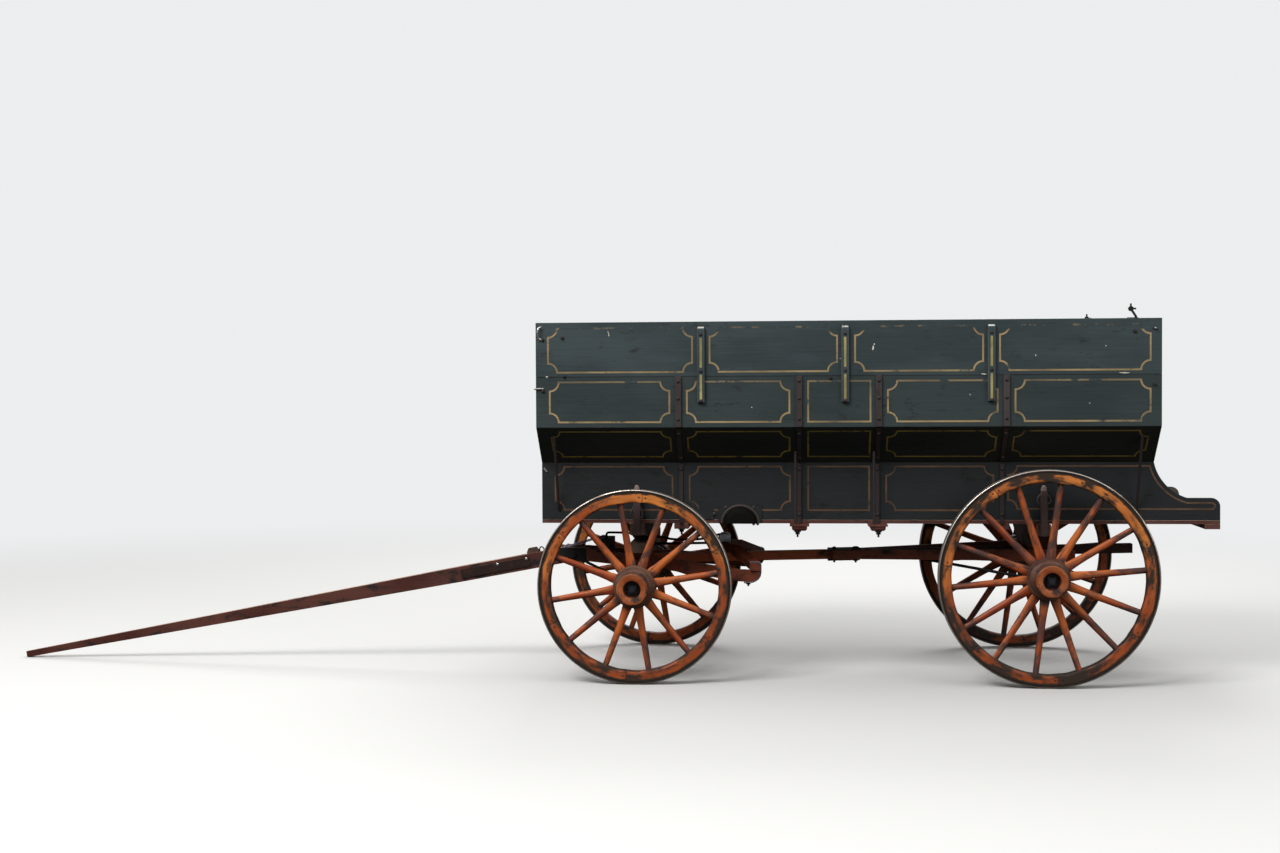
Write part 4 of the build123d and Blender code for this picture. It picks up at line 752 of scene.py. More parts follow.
# Bare wood shows on the faces that look into the box, on the floor and on worn tops. Columns: nodes, the grain's
# axis, how far the arrises are eased, materials, and what else eased() takes.
for names, along, ease, materials, extras in (
        ("front_end_lower front_end_flared front_end_top", "y", 0.002, [board_green, green_edge_wear_and_highlight, inside_pine],
         third(lambda n, m: n[:, 0] > 0.5)),
        ("rear_end_flared rear_end_top tail_gate", "y", 0.002, [board_green, green_edge_wear_and_highlight, inside_pine],
         third(lambda n, m: n[:, 0] < -0.5)),
        ("floor_boards", "x", 0.0015, [floor_pine, floor_pine, sill_red],
         third(lambda n, m: ((np.abs(n[:, 1]) > 0.5) & (np.abs(m[:, 1]) > 0.5)) | (np.abs(n[:, 0]) > 0.5))),
        ("cross_sills", "y", 0.002, [sill_red, gear_edge], {}),
        ("ribs", "z", 0.003, [rib_maroon, rib_maroon], {}),
        # The cleats' tops are near white: bleached wood, and a painted highlight where they face the sky.
        ("top_cleats", "z", 0.004, [board_green, green_edge_wear_and_highlight, cleat_top_bleached_and_highlit], third(lambda n, m: n[:, 2] > 0.5)),
        ("front_axle", "y", 0.004, [gear_red, gear_edge], {}),
        ("sand_board front_bolster rear_bolster", "y", 0.004, [bolster_red, gear_edge], {}),
        ("rear_axle", "y", 0.004, [gear_red, gear_edge], {}),
        ("rear_hounds", "x", 0.004, [gear_red, gear_edge], {}),
        # Painted light and shade: the reach takes a brighter, sunlit copy of the gear's red, where its front half
        # stands in the light; its rear half is drawn darker through the soil level, painted shade.
        ("reach", "x", 0.004, [sunlit_reach_red, gear_edge], {"soil": lambda points: 0.5 * (points[:, 0] - 1.3)}),
        # The hounds' flat tops ahead of the axle are pale: wear, and painted sunlight on the tops.
        ("front_hounds", "x", 0.005, [gear_red, gear_edge, hound_top_worn_and_sunlit],
         third(lambda n, m: (n[:, 2] > 0.99) & (m[:, 0] < 0.0))),
        ("hound_tie", "y", 0.003, [tie_black, tie_black], {}),
        ("sway_bar", "y", 0.005, [gear_red, gear_edge], {}),
        # The tongue's top and arrises are pale: wear, and a painted highlight where the top faces the sky.
        ("tongue_pole", "x", 0.006, [tongue_red, tongue_top_worn_and_highlit, tongue_top_worn_and_highlit], third(lambda n, m: n[:, 2] > 0.7)),
        ("side_strips", "x", 0.0015, [strap_iron], {}),
        ("bolster_stakes", "x", 0.0015, [stake_iron], {}),
        ("jaw_irons reach_coupling gate_straps rim_hooks", "x", 0.0012, [black_iron], {}),
        # The dome is near black, painted shade; its flange takes the lower board's darker green.
        ("rub_irons", "x", 0.001, [shade_black_iron, shade_black_iron, shaded_lower_green],
         third(lambda n, m: np.abs(m[:, 1]) < RUB_PLATE_Y)),
        ("tongue_irons", "x", 0.0015, [tongue_iron, tongue_iron, rusty_iron],
         third(lambda n, m: np.abs(m[:, 1]) < 0.03)),
        ("sway_bar_caps", "x", 0.0015, [black_iron, blue_steel, crown_steel],
         third(lambda n, m: (n[:, 2] > 0.2) | (np.abs(m[:, 1]) < 0.1)))):
    for node in names.split():
        eased(node, materials, ease, along, **extras)

# Round irons and plates keep their own meshes.
for names, material in (
        ("flare_rods", strap_iron), ("front_skeins rear_skeins", arm_iron),
        ("gate_pins king_pin upper_wear_plate lower_wear_plate", black_iron),
        ("hound_braces reach_braces tongue_bolt", black_iron)):
    for node in names.split():
        mesh = nodes[node].data
        mesh.materials.clear()
        mesh.materials.append(material)

# Pinstripes

LINE_WIDTH = 0.0092
LINE_PROUD = 0.0004
LINE_SUNK = 0.0004
NOTCH = 0.047
CORNER_STEPS = 8

BOX_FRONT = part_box("top_board_left")[0].x
BOX_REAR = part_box("top_board_left")[1].x
BOX_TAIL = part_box("lower_side_left")[1].x
UPPER_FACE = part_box("top_board_left")[0].y
LOWER_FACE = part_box("lower_side_left")[0].y
FLARE_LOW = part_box("flare_board_left")[0].z
FLARE_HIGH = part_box("flare_board_left")[1].z
FLOOR_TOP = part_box("floor_boards")[1].z
FLARE_RISE = unit((0, UPPER_FACE - LOWER_FACE, FLARE_HIGH - FLARE_LOW))
FLARE_OUT = np.array((0, -FLARE_RISE[2], FLARE_RISE[1]))


def panel_line(left, right, low, high, notch):
    """Closed line round a panel. Its corners turn in as quarter circles of radius notch, or with 0 stay square."""
    corners = [(left, low, 0.0), (right, low, 90.0), (right, high, 180.0), (left, high, 270.0)]
    points = []
    for x, z, start in corners:
        turn = np.radians(start + 90 - np.linspace(0, 90, CORNER_STEPS))
        points.append(np.stack([x + notch * np.cos(turn), z + notch * np.sin(turn)], -1) if notch else [(x, z)])
    return np.concatenate(points)


def ribbon(line, origin, along, upward, outward, width=LINE_WIDTH, closed=True):
    """Thin raised line of paint on a flat face.

    The line's points (u, v) lie at origin + u * along + v * upward. Each loop has four corners, half the width to
    both sides of the line, in and out of the face. The sides meet in mitres: the offset is the sum of both
    neighbours' normals over one plus their product.
    """
    line = np.asarray(line, float)
    if closed:
        before, after = line - np.roll(line, 1, 0), np.roll(line, -1, 0) - line
    else:
        after = np.vstack([np.diff(line, axis=0), line[-1:] - line[-2:-1]])
        before = np.vstack([line[1:2] - line[:1], np.diff(line, axis=0)])
    before, after = unit(before)[:, ::-1] * (-1, 1), unit(after)[:, ::-1] * (-1, 1)
    mitre = (before + after) / (1 + (before * after).sum(-1, keepdims=True))
    left, right = line + mitre * width / 2, line - mitre * width / 2
    corners = [(left, -LINE_SUNK), (left, LINE_PROUD), (right, LINE_PROUD), (right, -LINE_SUNK)]
    loops = np.stack([np.asarray(origin, float) + flat[:, :1] * np.asarray(along, float)
                      + flat[:, 1:] * np.asarray(upward, float) + rise * np.asarray(outward, float)
                      for flat, rise in corners], 1)
    return closed_shell(loops, ring=closed)


def upright_ribbon(line, face, **more):
    """Ribbon on an upright face of the left side; the line's points are (x, z)."""
    return ribbon(line, (0, face, 0), X_AXIS, Z_AXIS, LEFT, **more)


# Panels along the side, in metres behind the box's front edge; the third one below the top row is plain. Then the
# heights of each row's lines, on the flare as a distance up its slope, and of the line on the wing.
TOP_PANELS = [(0.065, 0.818), (0.909, 1.565), (1.657, 2.306), (2.391, 3.143)]
SIDE_PANELS = [(0.073, 0.699), (0.79, 1.32), (1.416, 1.735), (1.824, 2.379), (2.469, 3.143)]
PLAIN_PANEL = 2
TOP_ROW, SECOND_ROW, LOWER_ROW, FLARE_ROW = (1.625, 1.854), (1.365, 1.574), (0.894, 1.124), (0.048, 0.245)
WING_START, WING_LOW, WING_HIGH, WING_INSET = 2.455, 0.902, 1.126, 0.025
SCROLL_LENGTH, SCROLL_HEIGHT, SCROLL_SAG, NOSE_RADIUS = 0.171, 0.116, 0.36, 0.044


def wing_line(start):
    """Line round the last lower panel, which keeps WING_INSET inside the scroll's edge.

    The edge is an arc through three points, a level run and a quarter circle; the line takes the same centres with
    the arc's radius grown and the quarter circle's shrunk by the inset. The arc's middle point lies at the share
    SCROLL_SAG of its length and height. Its centre c solves 2 (p - first) . c = p.p - first.first for both other
    points p.
    """
    level = FLOOR_TOP + SCROLL_HEIGHT
    first = np.array((BOX_REAR, FLARE_LOW))
    last = np.array((BOX_REAR + SCROLL_LENGTH, level))
    middle = np.array((BOX_REAR + SCROLL_LENGTH * SCROLL_SAG, level + (FLARE_LOW - level) * SCROLL_SAG))
    pull = np.stack([middle - first, last - first]) * 2
    centre = np.linalg.solve(pull, [middle @ middle - first @ first, last @ last - first @ first])
    radius = np.linalg.norm(first - centre) + WING_INSET
    turn_first = math.pi + math.asin(min(1.0, (centre[1] - WING_HIGH) / radius))
    turn_last = math.pi * 1.5 - math.asin(min(1.0, max(0.0, (centre[0] - last[0]) / radius)))
    sweep = np.linspace(turn_first, turn_last, 14)
    scroll = np.stack([centre[0] + radius * np.cos(sweep), centre[1] + radius * np.sin(sweep)], -1)
    turn = np.linspace(np.pi / 2, 0, 6)
    tip = np.stack([BOX_TAIL - NOSE_RADIUS + (NOSE_RADIUS - WING_INSET) * np.cos(turn),
                    level - NOSE_RADIUS + (NOSE_RADIUS - WING_INSET) * np.sin(turn)], -1)
    notches = panel_line(start, BOX_TAIL - WING_INSET, WING_LOW, WING_HIGH, NOTCH)
    foot = [(BOX_TAIL - WING_INSET - 0.012, WING_LOW)]
    return np.concatenate([notches[:CORNER_STEPS], foot, tip[::-1], scroll[::-1], notches[-CORNER_STEPS:]])


upper, lower, flare = [], [], []
for left, right in TOP_PANELS:
    upper.append(upright_ribbon(panel_line(BOX_FRONT + left, BOX_FRONT + right, *TOP_ROW, NOTCH), UPPER_FACE))
for i, (left, right) in enumerate(SIDE_PANELS):
    ends = BOX_FRONT + left, BOX_FRONT + right
    notch = 0 if i == PLAIN_PANEL else NOTCH
    upper.append(upright_ribbon(panel_line(*ends, *SECOND_ROW, notch), UPPER_FACE))
    flare.append(ribbon(panel_line(*ends, *FLARE_ROW, notch), (0, LOWER_FACE, FLARE_LOW), X_AXIS, FLARE_RISE,
                        FLARE_OUT))
    last_panel = i == len(SIDE_PANELS) - 1
    lower.append(upright_ribbon(
        wing_line(BOX_FRONT + WING_START) if last_panel else panel_line(*ends, *LOWER_ROW, notch), LOWER_FACE))

for name, paint, lines in (
        ("upper", ochre_line, upper), ("lower", shaded_lower_line, lower), ("flare", shaded_flare_line, flare)):
    points, faces = joined(both_sides(lines))
    # Rain runs down from the rim: the top row's top lines are nearly gone, the second row's have faded.
    under_rim = points[:, 2] > 1.835
    second_top = (points[:, 2] > 1.565) & (points[:, 2] < 1.6)
    make_piece(f"{name}_pinstripes", points, faces, [paint], "wagon", "green_paint",
               soil=0.17 * under_rim + 0.02 * second_top, sun=0.5 * under_rim + 0.42 * second_top)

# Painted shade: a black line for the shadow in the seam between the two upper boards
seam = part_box("second_board_left")[1].z
run = [(x, seam) for x in (BOX_FRONT + 0.002, (BOX_FRONT + BOX_REAR) / 2, BOX_REAR - 0.002)]
fitting("seam_painted_shade", both_sides([upright_ribbon(run, UPPER_FACE, width=0.0042, closed=False)]), seam_shade_black,
        slot="green_paint")

CLEAT_X = [0.6433, 1.3853, 2.1273]
CLEAT_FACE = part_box("top_cleats")[0].y
fitting("cleat_lines", both_sides([
    upright_ribbon([(x, low), (x, (low + high) / 2), (x, high)], CLEAT_FACE, width=0.012, closed=False)
    for x in CLEAT_X for low, high in ((1.482, 1.61), (1.647, 1.8))]), cream_line, slot="green_paint")

# Bolts and small irons of the box. Heights are measured from the ground, distances along the side from X = 0.

RIB_X = [0.5243, 1.1493, 1.5573, 2.2033]
RIB_BOLTS_Z = (1.5756, 1.4865, 1.3793)
FLARE_BOLT_SHARES = (0.16, 0.84)
LOWER_BOLTS_Z = (1.112, 0.872)
CLEAT_BOLTS_Z = (1.8178, 1.6285, 1.4735)
STRIP_THICKNESS = 0.008
RIB_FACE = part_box("ribs")[0].y
FLARE_WIDTH = np.hypot(UPPER_FACE - LOWER_FACE, FLARE_HIGH - FLARE_LOW)


def on_flare_strip(x, share):
    """Point on the outer face of a flare strip, at a share of the flare's width."""
    return (np.array((x, LOWER_FACE, FLARE_LOW)) + share * FLARE_WIDTH * FLARE_RISE
            + STRIP_THICKNESS * FLARE_OUT)


def left_studs(face, places, profile=ROUND_HEAD, sides=12):
    """Studs that face left on an upright face; the places are (x, z)."""
    return studs([(x, face, z) for x, z in places], LEFT, profile, sides)


fitting("box_bolts", both_sides([
    left_studs(RIB_FACE, [(x, z) for x in RIB_X for z in RIB_BOLTS_Z]),
    studs([on_flare_strip(x, share) for x in RIB_X for share in FLARE_BOLT_SHARES], FLARE_OUT, ROUND_HEAD),
    left_studs(LOWER_FACE - STRIP_THICKNESS, [(x, z) for x in RIB_X for z in LOWER_BOLTS_Z]),
    left_studs(CLEAT_FACE, [(x, z) for x in CLEAT_X for z in CLEAT_BOLTS_Z])]), strap_iron)

# Two rods tie the sides together ahead of the rear end boards; bolts hold the front hooks and a cleat inside.
REAR_RODS = [(2.943, 1.8335), (2.943, 1.55)]
HOOK_AND_CLEAT_BOLTS = [(-0.183, 1.797), (-0.183, 1.528), (-0.08, 1.806), (2.844, 1.819), (-0.07, 1.605),
                        (1.31, 1.59)]
tie_rods = [bar([(x, side * (UPPER_FACE + 0.001), z) for side in (1, -1)], 0.006, X_AXIS) for x, z in REAR_RODS]
nuts = both_sides([left_studs(UPPER_FACE, REAR_RODS + HOOK_AND_CLEAT_BOLTS, SMALL_NUT, 6)])
fitting("end_tie_rods", tie_rods + nuts, strap_iron)

# Gate chain hooks at the front edge, worn bright: an arched hook on the top board, a straight bar below it and a
# stub, each a path of (x, y, z).
arch = smooth_path([(-0.186, -0.712, 1.792), (-0.204, -0.722, 1.806), (-0.2085, -0.73, 1.832),
                    (-0.202, -0.728, 1.856), (-0.19, -0.718, 1.862), (-0.186, -0.709, 1.852)], 22)
straight = [(-0.23, -0.716, 1.5385), (-0.2285, -0.716, 1.5392), (-0.2, -0.716, 1.541),
            (-0.179, -0.716, 1.54), (-0.1775, -0.716, 1.5398)]
stub = [(-0.2105, -0.512, 1.118), (-0.2095, -0.512, 1.1165), (-0.2, -0.512, 1.104), (-0.1935, -0.512, 1.0965),
        (-0.1925, -0.512, 1.095)]
# A bright cap shows on the nut of the upper rod.
ROD_CAP = [(0.0, 0.006), (0.004, 0.0055), (0.0056, 0.004)]
ROD_CAP_OUT = 0.0125
fitting("bright_hooks", both_sides([
    bar(arch, 0.0052, Z_AXIS + 0.2 * LEFT, flat=0.8),
    bar(straight, np.array([1.5, 4.5, 5, 4.5, 1.5]) / 1000, Z_AXIS),
    bar(stub, np.array([1.5, 4.5, 5.5, 4.5, 1.5]) / 1000, LEFT),
    left_studs(UPPER_FACE - ROD_CAP_OUT, REAR_RODS[:1], ROD_CAP)]), bright_steel)

# Rounded tips of the bolster stakes: each loop is an oval that shrinks upwards. Columns: height over the stake,
# half width and half thickness in millimetres.
FRONT_STAKE_X, REAR_STAKE_X = 0.2913, 2.4133
STAKE_Y, RING_Y = -0.547, -0.549
STAKE_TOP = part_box("bolster_stakes")[1].z
turn = full_turn(16)
tip = np.array([(-0.008, 16, 4.9), (0.008, 15, 4.8), (0.018, 13, 4.6), (0.025, 9.5, 3.8), (0.029, 4, 2)])
rise, wide, thick = tip[:, :1], tip[:, 1:2] / 1000, tip[:, 2:] / 1000
fitting("stake_tips", both_sides([
    closed_shell(stacked(x + wide * np.cos(turn), STAKE_Y + thick * np.sin(turn), STAKE_TOP + rise))
    for x in (FRONT_STAKE_X, REAR_STAKE_X)]), tip_iron, sharp=60)

# Stake rings hang through the bolster stakes: x = w sin t (1 - 0.42 cos t), z = h cos t, so they narrow upwards.
turn = full_turn(28)
rings = []
for x, low, high, half in ((FRONT_STAKE_X, 0.844, 0.93, 0.029), (REAR_STAKE_X, 0.926, 0.992, 0.033)):
    path = stacked(x + half * np.sin(turn) * (1 - 0.42 * np.cos(turn)), RING_Y,
                   (low + high) / 2 + (high - low) / 2 * np.cos(turn))
    rings.append(bar(path, 0.0042, LEFT, 8, ring=True))
fitting("stake_rings", both_sides(rings), ring_iron)

# Chips and scratches on the left side, near white: bare wood and painted highlights that catch the light; the
# three at the upper seam are painted sky seen through gaps. x, z, width and height in metres, turn in degrees.
# Each is an oval whose half width goes with 1 + 0.3 sin 3t and its half height with 1 + 0.3 cos 2t, shifted by its
# place.
MARKS = [(2.7928, 1.6084, 0.054, 0.0056, 0), (2.0899, 1.6057, 0.028, 0.0046, 0), (-0.1615, 1.603, 0.01, 0.007, 0),
         (0.1627, 1.825, 0.004, 0.03, 14), (1.5278, 1.7423, 0.009, 0.022, -10), (1.534, 1.762, 0.005, 0.007, 0),
         (2.35, 1.7, 0.005, 0.008, 20), (2.62, 1.455, 0.006, 0.006, 0), (2.02, 1.5, 0.004, 0.009, 8),
         (0.905, 1.44, 0.006, 0.004, 0), (1.36, 1.69, 0.005, 0.005, 0), (2.7, 1.745, 0.004, 0.007, -12)]
CHIP_PROUD = 0.0006
x, z, wide, tall, lean = np.array(MARKS).T[:, :, None]
turn = full_turn(8)[None, :]
lean = np.radians(lean)
u = wide / 2 * np.cos(turn) * (1 + 0.3 * np.sin(3 * turn + x * 9))
v = tall / 2 * np.sin(turn) * (1 + 0.3 * np.cos(2 * turn + z * 9))
loops = np.stack([stacked(x + u * np.cos(lean) - v * np.sin(lean), UPPER_FACE + rise,
                          z + u * np.sin(lean) + v * np.cos(lean)) for rise in (CHIP_PROUD, -CHIP_PROUD)], 1)
make_piece("paint_chips_and_painted_glints", loops, skin(loops), [chips_and_painted_glints], "wagon", "green_paint")

# Bolts through the sills: their nuts and threaded ends hang below, a washer between nut and wood. Those of the two
# moulded sills are farther out.
SILL_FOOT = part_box("cross_sills")[0].z
fitting("sill_bolts", both_sides([
    studs([(x, -0.58, SILL_FOOT) for x in (1.1393, 1.5593)], -Z_AXIS, WASHER_AND_NUT, 6),
    studs([(x, -0.48, SILL_FOOT + 0.003) for x in (0.5243, 2.2033)], -Z_AXIS, WASHER_AND_NUT, 6)]), black_iron)

# Rub iron: a bead round the dome, bolts through the flange and the wear strap ahead of it.
DOME_X, DOME_Z, DOME_RADIUS = 0.8373, 0.8235, 0.092
turn = np.linspace(0.02, np.pi - 0.02, 30)
bead = stacked(DOME_X + (DOME_RADIUS + 0.006) * np.cos(turn), -RUB_PLATE_Y,
               DOME_Z + (DOME_RADIUS + 0.002) * np.sin(turn))
fitting("rub_iron_bead_and_bolts", both_sides([
    bar(bead, 0.0085, LEFT, 8),
    left_studs(-0.5125, ((0.7594, 0.908), (0.9079, 0.908), (0.6983, 0.8747))),
    studs([(x, -0.51, 0.8245) for x in (0.764, 0.9079, 0.929)], -Z_AXIS, SMALL_NUT, 6)]), bead_iron)

# Coupling of the two halves of the reach: domed bolt heads on top, square nuts beneath. Two bolts farther back
# hold the braces' eyes to the reach: nuts under its foot.
FORE_BOLT_X, AFT_BOLT_X = 1.341, 1.459
FORE_HEAD = [(0.0, 0.012), (0.006, 0.011), (0.011, 0.007), (0.0135, 0.0)]
AFT_HEAD = [(0.0, 0.015), (0.012, 0.0135), (0.022, 0.008), (0.027, 0.0)]
coupling_foot, coupling_top = (corner.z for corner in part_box("reach_coupling"))
fitting("coupling_bolts", [
    studs([(FORE_BOLT_X, 0, coupling_top - 0.003)], Z_AXIS, FORE_HEAD),
    studs([(AFT_BOLT_X, 0, coupling_top - 0.004)], Z_AXIS, AFT_HEAD),
    studs([(x, 0, coupling_foot + 0.002) for x in (FORE_BOLT_X, AFT_BOLT_X)], -Z_AXIS, NUT_ON_STUB, 4),
    studs([(1.695, 0, 0.5979), (1.744, 0, 0.5991)], -Z_AXIS, SMALL_NUT, 6)], black_iron)

# Irons of the front gear

TIE_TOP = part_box("hound_tie")[1].z
JAW_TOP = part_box("jaw_irons")[1].z
SAND_FRONT, SAND_REAR = (corner.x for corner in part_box("sand_board"))
caps_low, caps_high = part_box("sway_bar_caps")

# Rods: one rises from the tie block, bends back to the sand board and goes on behind it to the crown iron of the
# sway bar; a straight one runs above the reach.
ROD_X = 0.0685
up_and_back = smooth_path([
    (ROD_X, 0, TIE_TOP - 0.004), (ROD_X, 0, TIE_TOP + 0.016), (0.073, 0, TIE_TOP + 0.0255),
    (0.084, 0, TIE_TOP + 0.0285), (0.15, 0, TIE_TOP + 0.028), (0.215, 0, TIE_TOP + 0.024),
    (SAND_FRONT + 0.004, 0, 0.712)], 44)
behind = smooth_path([
    (SAND_REAR - 0.004, 0, 0.713), (0.38, 0, 0.706), (0.437, 0, 0.6945), (0.51, 0, 0.692), (0.594, 0, 0.695),
    (0.65, 0, 0.708), (0.706, 0, caps_high.z - 0.01)], 44)
level = [(SAND_REAR - 0.004, 0.052, 0.664), (0.48, 0.052, 0.666), (0.706, 0.052, 0.67)]
fitting("front_gear_rods", [
    bar(up_and_back, 0.0065, LEFT), bar(behind, 0.0068, LEFT), bar(level, 0.0072, LEFT),
    studs([(x, y, TIE_TOP - 0.002) for x, y in ((ROD_X, 0), (0.04, 0.07), (0.04, -0.07))], Z_AXIS, SMALL_NUT,
          6)], black_iron, "front_gear")

# Bolts of the hounds: heads on the jaws, a nut under each tail strap
fitting("hound_bolts", [
    studs([(-0.19, side * 0.074, JAW_TOP - 0.001) for side in (-1, 1)], Z_AXIS, ROUND_HEAD),
    studs([(0.876, side * 0.43, caps_low.z + 0.001) for side in (-1, 1)], -Z_AXIS, NUT_ON_STUB, 6)],
    black_iron, "front_gear")


def strap(path, width, thickness):
    """Flat iron along a path in the plane of X and Z: each loop is a rectangle with its corners cut off."""
    path = np.asarray(path, float)
    ahead = unit(np.gradient(path, axis=0))
    upward = unit(np.cross(ahead, LEFT))
    a, b, cut = width / 2, thickness / 2, thickness / 5
    across = np.array([a, a, a - cut, cut - a, -a, -a, cut - a, a - cut])[None, :, None]
    rise = np.array([cut - b, b - cut, b, b, b - cut, cut - b, -b, -b])[None, :, None]
    return closed_shell(path[:, None] + across * LEFT + rise * upward[:, None])


# Flat straps rise from the jaws to the top of the tie block, bolted at both ends: rubbed iron, drawn light
# purple-blue as a painted sheen of the sky. The path runs along the middle of the strap, ABOVE what it lies on.
STRAP_WIDTH, STRAP_DEPTH, STRAP_Y, ABOVE = 0.03, 0.005, -0.067, 0.0023
over_tie = [(x, STRAP_Y, z) for x, z in (
    (-0.168, JAW_TOP + ABOVE), (-0.152, JAW_TOP + ABOVE), (-0.14, JAW_TOP + 0.003), (-0.128, JAW_TOP + 0.006),
    (0.018, TIE_TOP - 0.0005), (0.03, TIE_TOP + ABOVE), (0.05, TIE_TOP + ABOVE), (0.066, TIE_TOP + ABOVE))]
fitting("hound_straps", both_sides([
    strap(over_tie, STRAP_WIDTH, STRAP_DEPTH),
    studs([(-0.157, STRAP_Y, JAW_TOP + 0.004), (0.048, STRAP_Y, TIE_TOP + 0.004)], Z_AXIS, ROUND_HEAD)]),
    jaw_strap_iron_with_painted_sheen, "front_gear")

# Cheeks of the crown iron, slightly domed: its outline, an arch on two straight sides, drawn in towards the face.
# Columns: the outline's share of its size, distance out from the wagon's middle.
CROWN_BEHIND_CAPS, CHEEK_HALF, CHEEK_ROUND, CHEEK_HEIGHT = -0.215, 0.0325, 0.025, 0.053
CHEEK_LOOPS = ((1.0, 0.036), (1.0, 0.0395), (0.94, 0.0412), (0.8, 0.0424), (0.45, 0.0434))
crown_x, foot = caps_high.x + CROWN_BEHIND_CAPS, caps_high.z - CHEEK_HEIGHT
turn = np.linspace(0, np.pi / 2, 9)
fore = np.stack([CHEEK_ROUND - CHEEK_HALF - CHEEK_ROUND * np.cos(turn),
                 caps_high.z - CHEEK_ROUND + CHEEK_ROUND * np.sin(turn)], -1)
outline = np.vstack([[(-CHEEK_HALF, foot)], fore, fore[::-1] * (-1, 1), [(CHEEK_HALF, foot)]])
middle = np.array([0.0, (foot + caps_high.z) / 2])
cheek = []
for share, out in CHEEK_LOOPS:
    flat = middle + (outline - middle) * share
    cheek.append(stacked(crown_x + flat[:, 0], -out, flat[:, 1]))
fitting("crown_iron_cheeks", both_sides([closed_shell(np.array(cheek))]), crown_steel, "front_gear", "worn_iron",
        sharp=60)

# Irons of the tongue: two bright bolt heads on the strap, a dull one ahead of it, and a staple behind the hammer
# strap. The staple's path is measured from the tongue's pin, towards the tip and up from the tongue's middle.
STRAP_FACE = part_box("tongue_irons")[0].y
fitting("tongue_strap_bolts", both_sides([left_studs(STRAP_FACE, [(-0.3814, 0.5827), (-0.5461, 0.551)])]),
        bright_steel, "tongue")
pin = np.array(next(joint for joint in record["behaviour"]["joints"] if joint["name"] == "tongue_lift")["pos_m"])
forward = np.array(next(mount for mount in record["mounts"] if mount["name"] == "tongue_tip")["axis"])
pole_up = np.cross(forward, LEFT)
pole_up = pole_up * np.sign(pole_up[2])
staple = smooth_path([(0.167, 0.04), (0.167, 0.054), (0.1715, 0.064), (0.179, 0.068), (0.1865, 0.064),
                      (0.191, 0.054), (0.191, 0.04)], 24)
staple = pin + staple[:, :1] * forward + staple[:, 1:] * pole_up
fitting("tongue_staple_and_bolt",
        [bar(staple, 0.0034, LEFT, 8)] + both_sides([left_studs(-0.0316, [(-0.7411, 0.5162)], SMALL_RIVET)]),
        black_iron, "tongue")

# Floor, lights and camera

# The floor is a grid of squares, 0.5 mm under the wheels.
FLOOR_HALF, FLOOR_STEPS, FLOOR_DROP = 30.0, 3, 0.0005
edge = np.linspace(-FLOOR_HALF, FLOOR_HALF, FLOOR_STEPS)
floor_x, floor_y = np.meshgrid(edge, edge, indexing="ij")
floor_points = stacked(floor_x, floor_y, -FLOOR_DROP).reshape(-1, 3)
row = np.arange(FLOOR_STEPS - 1)
corner = (row[:, None] * FLOOR_STEPS + row[None, :]).ravel()
floor_faces = np.stack([corner, corner + FLOOR_STEPS, corner + FLOOR_STEPS + 1, corner + 1], -1)
floor_mesh = bpy.data.meshes.new("studio_floor")
floor_mesh.from_pydata(floor_points.tolist(), [], floor_faces.tolist())
studio_floor = bpy.data.objects.new("studio_floor", floor_mesh)
bpy.context.scene.collection.objects.link(studio_floor)

# Painted studio floor, pale to the eye and paler still far away, where it meets the backdrop's level. For bounced
# light and reflections it is dark, because the grass under the real wagon throws little light up under the box.
BACKDROP = 0.95
floor_paint = bpy.data.materials.new("pale_studio_floor")
floor_paint.use_nodes = True
tree = floor_paint.node_tree
tree.nodes.clear()
rays = add(tree, "LightPath")
tone = add(tree, "Mix", {0: rays.outputs["Is Camera Ray"], 6: srgb("#33352c"), 7: srgb("#e8e7e4")},
           data_type="RGBA")
shader = add(tree, "BsdfPrincipled", {"Base Color": tone.outputs[2], "Roughness": 0.9})
spot = add(tree, "TexCoord").outputs["Object"]
distance = add(tree, "VectorMath", {0: spot}, operation="LENGTH")
far = add(tree, "MapRange", {"Value": distance.outputs["Value"], "From Min": 4.0, "From Max": 11.0},
          interpolation_type="SMOOTHSTEP")
seen_far = add(tree, "Math", {0: far.outputs[0], 1: rays.outputs["Is Camera Ray"]}, operation="MULTIPLY")
glow = add(tree, "Emission", {"Color": srgb("#f2f3f4"), "Strength": BACKDROP})
blend = add(tree, "MixShader", {0: seen_far.outputs[0], 1: shader.outputs[0], 2: glow.outputs[0]})
add(tree, "OutputMaterial", {"Surface": blend.outputs[0]})
floor_mesh.materials.append(floor_paint)

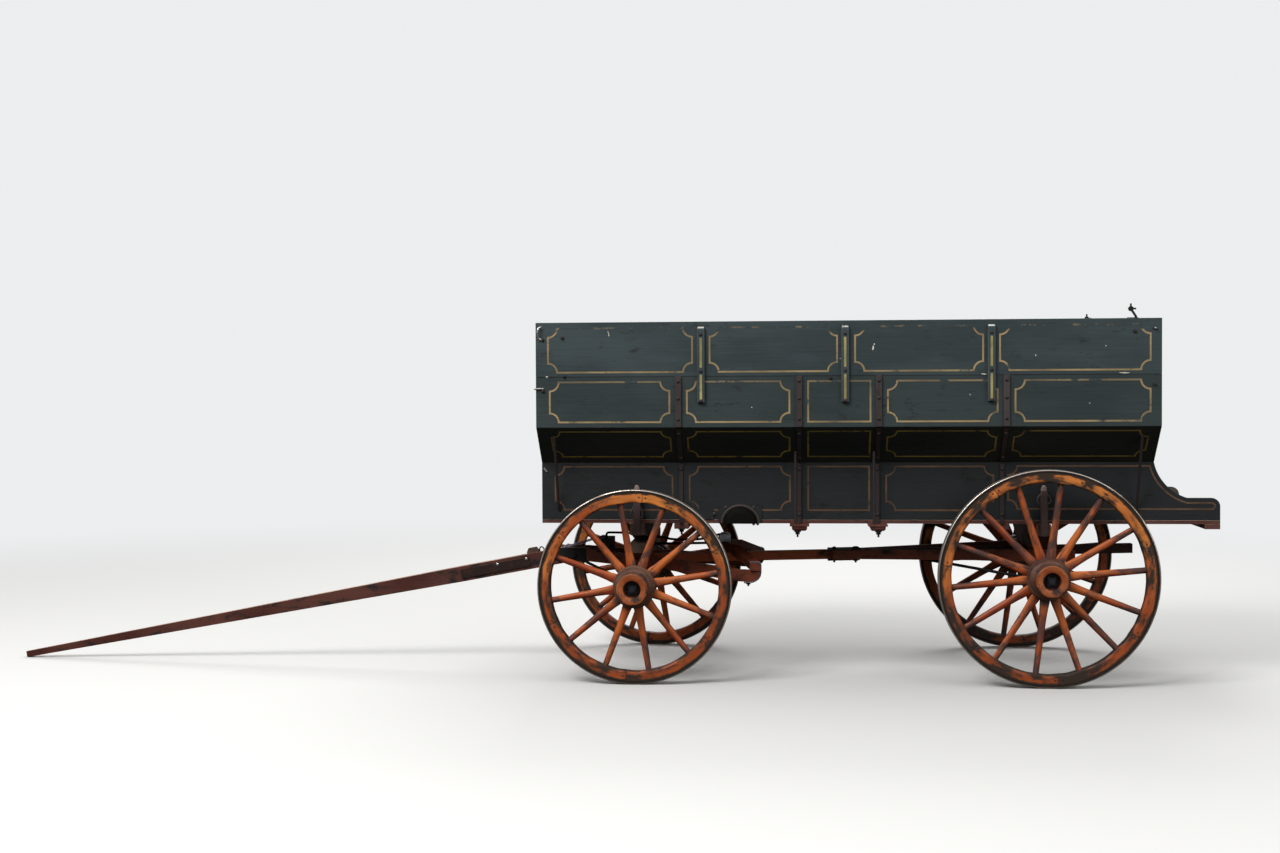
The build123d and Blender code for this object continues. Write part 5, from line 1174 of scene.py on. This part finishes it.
# A dome of soft light, strongest overhead; the eye and glass see an even pale backdrop.
world = bpy.data.worlds.new("soft_studio_sky")
bpy.context.scene.world = world
world.use_nodes = True
tree = world.node_tree
tree.nodes.clear()
rays = add(tree, "LightPath")
seen = add(tree, "Math", {0: rays.outputs["Is Camera Ray"], 1: rays.outputs["Is Transmission Ray"]},
           operation="MAXIMUM")
direction = add(tree, "SeparateXYZ", {0: add(tree, "TexCoord").outputs["Generated"]})
dome = add(tree, "MapRange", {"Value": direction.outputs["Z"], "From Min": 0.0, "From Max": 0.9, "To Min": 0.14,
                              "To Max": 0.82})
level = add(tree, "Mix", {0: seen.outputs[0], 2: dome.outputs[0], 3: BACKDROP}, data_type="FLOAT")
sky = add(tree, "Background", {"Color": srgb("#f2f3f4"), "Strength": level.outputs[0]})
add(tree, "OutputWorld", {"Surface": sky.outputs[0]})


def place_facing(name, data, right, up, back, place):
    """A lamp or camera whose own X, Y and Z axes are right, up and back."""
    holder = bpy.data.objects.new(name, data)
    turn = np.eye(4)
    turn[:3] = np.stack([right, up, back, place], 1)
    holder.matrix_world = Matrix(turn.tolist())
    bpy.context.scene.collection.objects.link(holder)
    return holder


def soft_box(name, place, target, width, height, power):
    """Large soft lamp at a place, turned towards a target."""
    lamp = bpy.data.lights.new(name, "AREA")
    lamp.shape = "RECTANGLE"
    lamp.size = width
    lamp.size_y = height
    lamp.energy = power
    back = unit(np.subtract(place, target))
    right = unit(np.cross((0, 0, 1), back))
    place_facing(name, lamp, right, np.cross(back, right), back, place)


soft_box("key_lamp", (-4.0, -7.0, 8.5), (0.5, 0.0, 0.9), 5.0, 4.0, 780)
soft_box("fill_lamp", (8.0, -7.0, 4.0), (0.8, 0.0, 0.9), 5.0, 4.0, 150)
soft_box("back_lamp", (2.0, 8.0, 8.0), (0.5, 0.0, 0.9), 6.0, 4.0, 420)

# The photograph's eye: place, focal length, and turns to the left, down and over, in degrees
EYE = np.array((1.1523, -9.833, 1.5615))
FOCAL = 49.56
YAW, PITCH, ROLL = (math.radians(angle) for angle in (-5.183, -1.368, -0.293))
level_right = np.array((math.cos(YAW), -math.sin(YAW), 0))
ahead = np.array((math.sin(YAW) * math.cos(PITCH), math.cos(YAW) * math.cos(PITCH), math.sin(PITCH)))
level_up = np.cross(level_right, ahead)
right = level_right * math.cos(ROLL) + level_up * math.sin(ROLL)
up = level_up * math.cos(ROLL) - level_right * math.sin(ROLL)
lens = bpy.data.cameras.new("photo_eye")
lens.lens = FOCAL
lens.sensor_width = 36.0
lens.sensor_fit = "HORIZONTAL"
lens.clip_end = 200.0
bpy.context.scene.camera = place_facing("photo_eye", lens, right, up, -ahead, EYE)
bpy.context.scene.view_settings.view_transform = "Standard"
